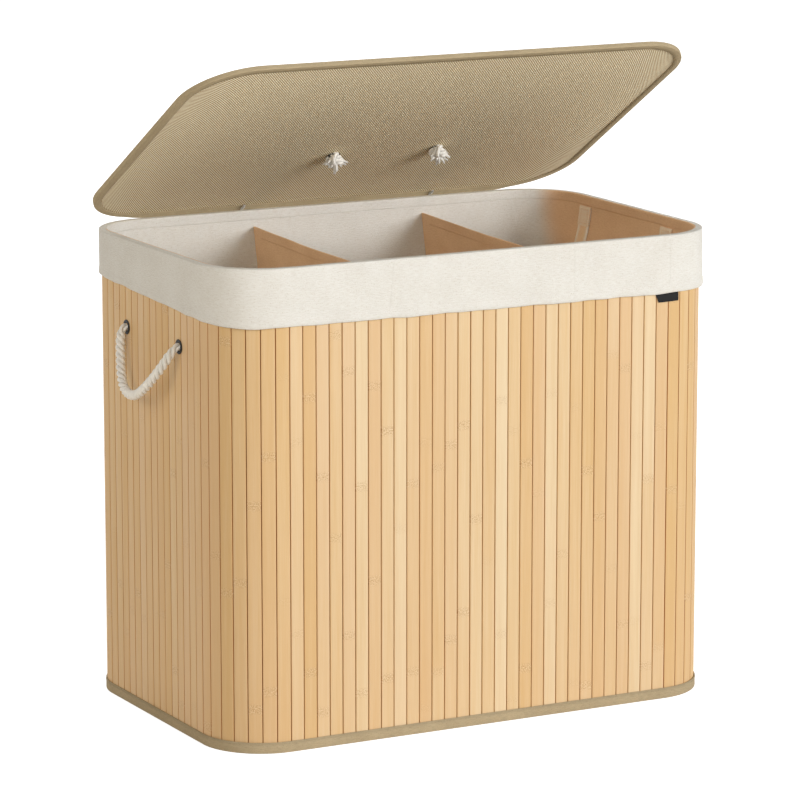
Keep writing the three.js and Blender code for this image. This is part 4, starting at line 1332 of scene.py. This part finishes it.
def build_side_handles():
    """Rope handles of the short walls: a three-strand rope on a smooth path through the route's points,
    from inside its front hole to inside its back hole, pinched where it passes the holes."""
    body, _, ropes = sizes()
    level = body.height - HANDLE_DROP
    pinched, swell, step = 8 * MM, 0.28, 1.9 * MM
    out, aside, down = (np.array(SIDE_ROUTE) * MM).T
    for side, sign in LEFT_AND_RIGHT:
        path = path_through(np.stack([sign * (body.width / 2 + out), aside, level - down], -1), step)
        surface = Surface()
        far = path_distance(path)
        slack = ease((np.minimum(far, far[-1] - far) - pinched) / (14 * MM))
        add_rope(surface, path, (1.0, 1.0, 0.0), ropes.rope * (1 + swell * slack), ropes.lay)
        piece = surface.piece(f"{side}_handle_rope_twisted", rope_material(), "cotton_rope")
        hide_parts(f"{side}_handle_rope")
        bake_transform(piece)


def build_lid_handle():
    """Rope handle of the lid: the same rope on its own route, which lies on the lid towards the hinge. It
    bends where it leaves the holes, along the slant that it takes there."""
    ropes = sizes()[2]
    out, aside, back = (np.array(LID_ROUTE) * MM).T
    path = path_through(np.stack([LID_MIDDLE + aside, LID_PLACE + back, LID_FACE + out], -1), 1.9 * MM)
    path = lid_to_row(path)
    surface = Surface()
    add_rope(surface, path, (1.0, 0.8, -0.6), ropes.rope, ropes.lay)
    piece = surface.piece("lid_handle_rope_twisted", rope_material(), "cotton_rope")
    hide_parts("lid_handle_rope")
    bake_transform(piece)


def build_ties():
    """Hinge ties: a thin twisted cord from its knot in the back wall, up behind the cuff and under the
    lid's edge, where it is sewn on."""
    ropes = sizes()[2]
    out, up = (np.array(TIE_ROUTE) * MM).T
    for side, spot in tie_holes():
        end = lid_to_row(np.array([(0, -9.5, -1.9), (0, -13.5, -1.7)]) * MM) + [spot[0], 0, 0]
        path = path_through(np.concatenate([spot + np.stack([0 * out, out, up], -1), end]), 0.8 * MM)
        surface = Surface()
        add_rope(surface, path, (1.0, 0, 0), ropes.tie, ropes.tie * 3.2, sides=6)
        piece = surface.piece(f"hinge_tie_{side}_cord", rope_material(), "cotton_rope")
        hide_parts(f"hinge_tie_{side}")
        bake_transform(piece)
        surface = Surface()
        add_knot(surface, (0, 1, 0), spot + [0, -5.6 * MM, 0], 10 * MM, ropes.tie, 70 + len(side))
        name = f"tie_knot_{side}"
        place(surface.piece(f"{name}_cord", rope_material(), "cotton_rope"), "root", name)


def build_knots():
    """Knots behind the holes of the rope handles: plain ones in the walls, frayed ones under the lid."""
    ropes = sizes()[2]
    for order, (side, end, normal, spot) in enumerate(wall_holes()):
        surface = Surface()
        inside = np.array(spot) - np.array(normal) * 5.4 * MM
        add_knot(surface, normal, inside, ropes.knot, ropes.rope, 60 + order, fray=False)
        name = f"{side}_handle_knot_{end}"
        place(surface.piece(f"{name}_rope", rope_material(), "cotton_rope"), "root", name)
    for order, (side, spot) in enumerate(lid_holes()):
        surface = Surface()
        middle = lid_to_row(spot + np.array([-1.5, -5.5, 0]) * MM)
        add_knot(surface, lid_normal(), middle, 1.2 * ropes.knot, 1.12 * ropes.rope, 80 + order)
        name = f"lid_handle_knot_{side}"
        place(surface.piece(f"{name}_rope", rope_material(), "cotton_rope"), "lid", name)


def build_eyelets():
    """Black eyelets: the same rolled form in the wall, in the back wall at the ties and in the lid."""
    ropes = sizes()[2]
    clear = 0.4 * MM
    wide, narrow = ropes.rope / 2 + clear, ropes.tie / 2 + clear
    in_wall, in_lid = (MAT_BACK, TRIM_FACE), (0.0, LID_THICK)
    holes = [
        *((f"{side}_handle_eyelet_{end}", "root", *hole, wide, in_wall) for side, end, *hole in wall_holes()),
        *((f"tie_eyelet_{side}", "root", (0, 1, 0), spot, narrow, in_wall) for side, spot in tie_holes()),
        *((f"lid_handle_eyelet_{side}", "lid", lid_normal(), lid_to_row(spot), wide, in_lid)
          for side, spot in lid_holes()),
    ]
    for name, body, normal, spot, bore, faces in holes:
        surface = Surface()
        add_eyelet(surface, normal, spot, bore, *faces, ropes.flange)
        place(surface.piece(f"{name}_rolled", metal_material(), "black_metal"), body, name)


def build_lid():
    """The lid: slats side by side from front to back whose ends follow the rounded outline, over a cloth
    whose underside shows, with a tape folded over the edge."""
    body = sizes()[0]
    random = np.random.default_rng(17)
    past_wall, inset = 3.4 * MM, 1.1 * MM
    width, radius = body.width + 2 * past_wall, body.corner + past_wall
    panel = (width - 2 * inset, body.lid_depth - 2 * inset, radius - inset)
    count = int(round(panel[0] / body.pitch))
    pitch = panel[0] / count
    middles = even_places(-panel[0] / 2, panel[0] / 2, pitch)
    section = slat_profile(pitch - body.gap, 2.3 * MM)
    across = middles[:, None] + section[:, 0] * random.uniform(0.985, 1, (count, 1))
    levels, mark, tone = knuckle_levels(count, random, -panel[1] / 2, panel[1] / 2)
    reach = panel_reach(across, *panel) - 0.1 * MM
    y = np.clip(levels[:, :, None], -reach[:, None], reach[:, None])
    lift = 4.6 * MM + section[:, 1] + 0.12 * MM * mark[..., None] * raised_face(section)
    points = np.stack([across[:, None] + 0 * y, y - body.lid_depth / 2, lift + 0 * y], -1)
    shift = random.uniform(0, 40, (count, 1))
    # Painted shade: the slats' sawn sides go towards the groove colour through their tones.
    surface = Surface()
    surface.grid(
        lid_to_row(points), levels + shift, np.concatenate([across, across[:, :1]], 1) + shift,
        wrap_v=True, tone=tone_with_groove_shade(tone, section), mark=mark[..., None], caps=True,
    )
    piece = surface.piece("lid_slats_bamboo", bamboo_material(), "bamboo", sharp=50)
    swap_pattern(piece)
    place(piece, "lid", "lid_slats")
    build_lid_cloth(panel, pitch)
    build_lid_binding(width, radius)


def build_lid_cloth(panel, pitch):
    """The cloth under the lid's slats: a flat panel that sinks a little between two slats."""
    body = sizes()[0]
    points, u, v = panel_grid(*panel, 200, 40)
    sink = 0.12 * MM * np.cos(2 * np.pi * (points[..., 0] + panel[0] / 2) / pitch)
    slow = 0.25 * MM * ripples(points[..., 0] * 1.2, points[..., 1] * 4, 90, (2, 3, 5))
    low = points + (1.25 * MM + sink + slow)[..., None] * [0, 0, 1] - [0, body.lid_depth / 2, 0]
    surface = Surface()
    surface.slab(lid_to_row(low + [0, 0, 0.6 * MM]), lid_to_row(low), u, v)
    piece = surface.piece("lid_cloth_woven", cloth_material(), "khaki_cloth", sharp=60)
    place(piece, "lid", "lid_cloth")


def build_lid_binding(width, radius):
    """The tape round the lid: a folded section lying on its side, carried round the lid's outline, with
    stitches on both faces. Along the hinge its fold bulges down behind the rim."""
    body, liner, _ = sizes()
    box = (width, body.lid_depth, radius)
    total = perimeter(*box)
    s = np.linspace(0, total, 440, endpoint=False)
    section = rounded_fold(0.0, LID_THICK, -body.lid_tape, 0)[:, ::-1]
    offset, level = section[:, 0][None], section[:, 1][None]
    wave = 0.35 * MM * ripples(s[:, None] / total, level * 60, 95, (13, 22, 37, 60))
    inward = offset / -body.lid_tape
    back_start, ramp = total / 2, 0.03
    back_end = back_start + width - 2 * radius
    along_back = ease((s - back_start + 0.02) / ramp) * ease((back_end + 0.02 - s) / ramp)
    sag = -2.3 * MM * along_back[:, None] * ((offset > -3 * MM) & (level < 0.5 * MM))
    to_lid = np.array([0, body.lid_depth / 2, 0])
    points = round_wall(s[:, None], offset + wave * inward, level + sag, *box) - to_lid
    surface = Surface()
    surface.grid(lid_to_row(points), np.append(s, total), round_distance(section), wrap_u=True, wrap_v=True)
    spots, seam = even_places(0, total, liner.stitch), 2 * MM - body.lid_tape
    for height, way in ((LID_THICK + 0.05 * MM, 1), (0.12 * MM, -1)):
        here, ahead = (
            lid_to_row(round_wall(spots + step, seam, height, *box) - to_lid) for step in (0, NUDGE)
        )
        out = np.broadcast_to(lid_normal() * way, here.shape)
        add_stitches(surface, here, unit(ahead - here), out, liner.stitch, 0.6 * MM)
    piece = place(surface.piece("lid_binding_tape", tape_material(), "khaki_tape"), "lid", "lid_binding")


def finish_cad_nodes():
    """Gives the CAD nodes that stay their own materials."""
    for node, material in (
        # Painted shade: the cloth behind the slats takes the groove and knuckle colours, the shade of the
        # gaps where it shows.
        ("wall_cloth", plain_cloth_material("Wall Cloth", "groove", "knuckle")),
        ("wall_seam_tape", plain_cloth_material("Seam Tape", "tape", "tape_shade")),
        ("base_board", board_material()),
    ):
        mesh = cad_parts[node].data
        mesh.materials.clear()
        mesh.materials.append(material)


def seen_directly(tree):
    """1 where a ray comes from the camera, or by way of a mirror or glass, and 0 elsewhere."""
    light = add_node(tree, "ShaderNodeLightPath").outputs
    seen = maths(tree, "MAXIMUM", light["Is Camera Ray"], light["Is Glossy Ray"])
    return maths(tree, "MAXIMUM", seen, light["Is Transmission Ray"])


def add_floor():
    """A large flat floor, pale for the light that it throws back. Where it is seen it is greyer, with a
    glow that brings it to white and leaves the object's shadow on it."""
    far, glow, seen_grey = 30, 0.86, (0.55, 0.55, 0.55, 1)
    mesh = bpy.data.meshes.new("floor")
    mesh.from_pydata([(-far, -far, 0), (far, -far, 0), (far, far, 0), (-far, far, 0)], [], [(0, 1, 2, 3)])
    floor = bpy.data.objects.new("floor", mesh)
    bpy.context.scene.collection.objects.link(floor)
    material = bpy.data.materials.new("Floor")
    mesh.materials.append(material)
    material.use_nodes = True
    tree = material.node_tree
    seen = seen_directly(tree)
    speck = between(tree, noise(tree, object_place(tree), 3.0, 2.0), 0.0, 40.0)
    pale = mix(tree, speck, tint("floor"), tint("cotton_shade"))
    set_inputs(tree, tree.nodes["Principled BSDF"], {
        "Roughness": 1.0, "Specular IOR Level": 0.0, "Base Color": mix(tree, seen, pale, seen_grey),
        "Emission Color": (1, 1, 1, 1), "Emission Strength": maths(tree, "MULTIPLY", seen, glow),
    })


def add_surround():
    """The light from all round: soft and a little warm, and plain white where it is seen."""
    world = bpy.data.worlds.new("Surround")
    bpy.context.scene.world = world
    world.use_nodes = True
    tree = world.node_tree
    tone = mix(tree, seen_directly(tree), (0.27, 0.262, 0.25, 1), (1, 1, 1, 1))
    set_inputs(tree, tree.nodes["Background"], {"Color": tone})


def add_lamps():
    """Four soft square lamps, each with its place, size, power and colour, turned towards the hamper."""
    middle = np.array([0, 0, 0.35])
    for name, spot, size, power, tinge in (
        ("key", (4.0, -7.3, 2.6), 3.8, 492, (1, 1, 1)),
        ("left", (-3.1, -1.1, 1.9), 1.5, 22, (1, 0.88, 0.72)),
        ("front", (-6.2, -5.4, 2.6), 2.4, 75, (1, 0.97, 0.92)),
        ("back", (1.2, 6.5, 3.4), 3.0, 240, (1, 1, 1)),
    ):
        lamp = bpy.data.lights.new(name, "AREA")
        lamp.size, lamp.energy, lamp.color = size, power, tinge
        holder = bpy.data.objects.new(name, lamp)
        holder.location = spot
        x, y, z = middle - spot
        holder.rotation_euler = Euler((np.arctan2(np.hypot(x, y), -z), 0, np.arctan2(y, x) - np.pi / 2))
        bpy.context.scene.collection.objects.link(holder)


def build_stage():
    """A plain floor, a pale surround, four soft lamps and the camera."""
    bpy.context.scene.view_settings.view_transform = "Standard"
    add_floor()
    add_surround()
    add_lamps()
    add_camera()


def add_camera():
    """The camera at the photograph's place, angle and focal length."""
    down, turn = 11.280, -27.939
    view = bpy.data.cameras.new("camera")
    view.lens, view.sensor_width, view.clip_end = 194.062, 36.0, 100.0
    camera = bpy.data.objects.new("camera", view)
    camera.location = (-2.372512, -4.471593, 1.361544)
    camera.rotation_euler = Euler(np.radians((90 - down, 0, turn)))
    bpy.context.scene.collection.objects.link(camera)
    bpy.context.scene.camera = camera


# Operators and panel


class HAMPER_OT_stage(bpy.types.Operator):
    """Add the floor, the lamps and the camera"""

    bl_idname = "hamper.stage"
    bl_label = "Stage"

    def execute(self, context):
        build_stage()
        return {"FINISHED"}


class HAMPER_OT_ropes(bpy.types.Operator):
    """Add the rope handles of the walls and the lid, and the hinge ties"""

    bl_idname = "hamper.ropes"
    bl_label = "Ropes and Ties"

    def execute(self, context):
        build_side_handles()
        build_lid_handle()
        build_ties()
        return {"FINISHED"}


class HAMPER_OT_wall(bpy.types.Operator):
    """Add the slats of the wall, its tapes and its base"""

    bl_idname = "hamper.wall"
    bl_label = "Wall and Base"

    def execute(self, context):
        build_wall_slats()
        build_bindings()
        build_base()
        return {"FINISHED"}


class HAMPER_OT_liner(bpy.types.Operator):
    """Add the liner's bag, cuff and dividers"""

    bl_idname = "hamper.liner"
    bl_label = "Liner"

    def execute(self, context):
        build_cuff()
        build_bag()
        build_dividers()
        return {"FINISHED"}


class HAMPER_OT_straps(bpy.types.Operator):
    """Add the webbing handles and the tag"""

    bl_idname = "hamper.straps"
    bl_label = "Webbing and Tag"

    def execute(self, context):
        build_straps()
        build_tag()
        return {"FINISHED"}


class HAMPER_OT_knots(bpy.types.Operator):
    """Add the knots and the eyelets"""

    bl_idname = "hamper.knots"
    bl_label = "Knots and Eyelets"

    def execute(self, context):
        build_knots()
        build_eyelets()
        return {"FINISHED"}


class HAMPER_OT_lid(bpy.types.Operator):
    """Add the lid's slats, cloth and tape"""

    bl_idname = "hamper.lid"
    bl_label = "Lid"

    def execute(self, context):
        build_lid()
        return {"FINISHED"}


class HAMPER_OT_finishes(bpy.types.Operator):
    """Give the CAD pieces that stay their materials"""

    bl_idname = "hamper.finishes"
    bl_label = "Finishes"

    def execute(self, context):
        finish_cad_nodes()
        return {"FINISHED"}


OPERATORS = (
    HAMPER_OT_stage, HAMPER_OT_ropes, HAMPER_OT_wall, HAMPER_OT_liner, HAMPER_OT_straps, HAMPER_OT_knots,
    HAMPER_OT_lid, HAMPER_OT_finishes,
)


class HAMPER_PT_build(bpy.types.Panel):
    """Lists the steps that build the hamper, with its sizes and colours"""

    bl_idname = "HAMPER_PT_build"
    bl_label = "Hamper"
    bl_space_type = "VIEW_3D"
    bl_region_type = "UI"
    bl_category = "Hamper"

    def draw(self, context):
        for operator in OPERATORS:
            self.layout.operator(operator.bl_idname)
        for group in SCENE_GROUPS:
            box = self.layout.box()
            settings = getattr(context.scene, group)
            for name in settings.__annotations__:
                box.prop(settings, name)


SCENE_GROUPS = {
    "hamper_body": HamperBodySizes,
    "hamper_liner": HamperLinerSizes,
    "hamper_rope": HamperRopeSizes,
    "hamper_colours": HamperColours,
}
CLASSES = (*SCENE_GROUPS.values(), *OPERATORS, HAMPER_PT_build)


def register():
    """Registers the classes and gives the scene its sizes and colours."""
    for item in CLASSES:
        bpy.utils.register_class(item)
    for name, group in SCENE_GROUPS.items():
        setattr(bpy.types.Scene, name, bpy.props.PointerProperty(type=group))


def unregister():
    """Takes back what register did."""
    for name in SCENE_GROUPS:
        delattr(bpy.types.Scene, name)
    for item in reversed(CLASSES):
        bpy.utils.unregister_class(item)


def main():
    """Runs the steps in order and writes the boxes of the CAD and of the finished pieces."""
    register()
    for step in OPERATORS:
        group, name = step.bl_idname.split(".")
        getattr(getattr(bpy.ops, group), name)()


if __name__ == "__main__":
    main()
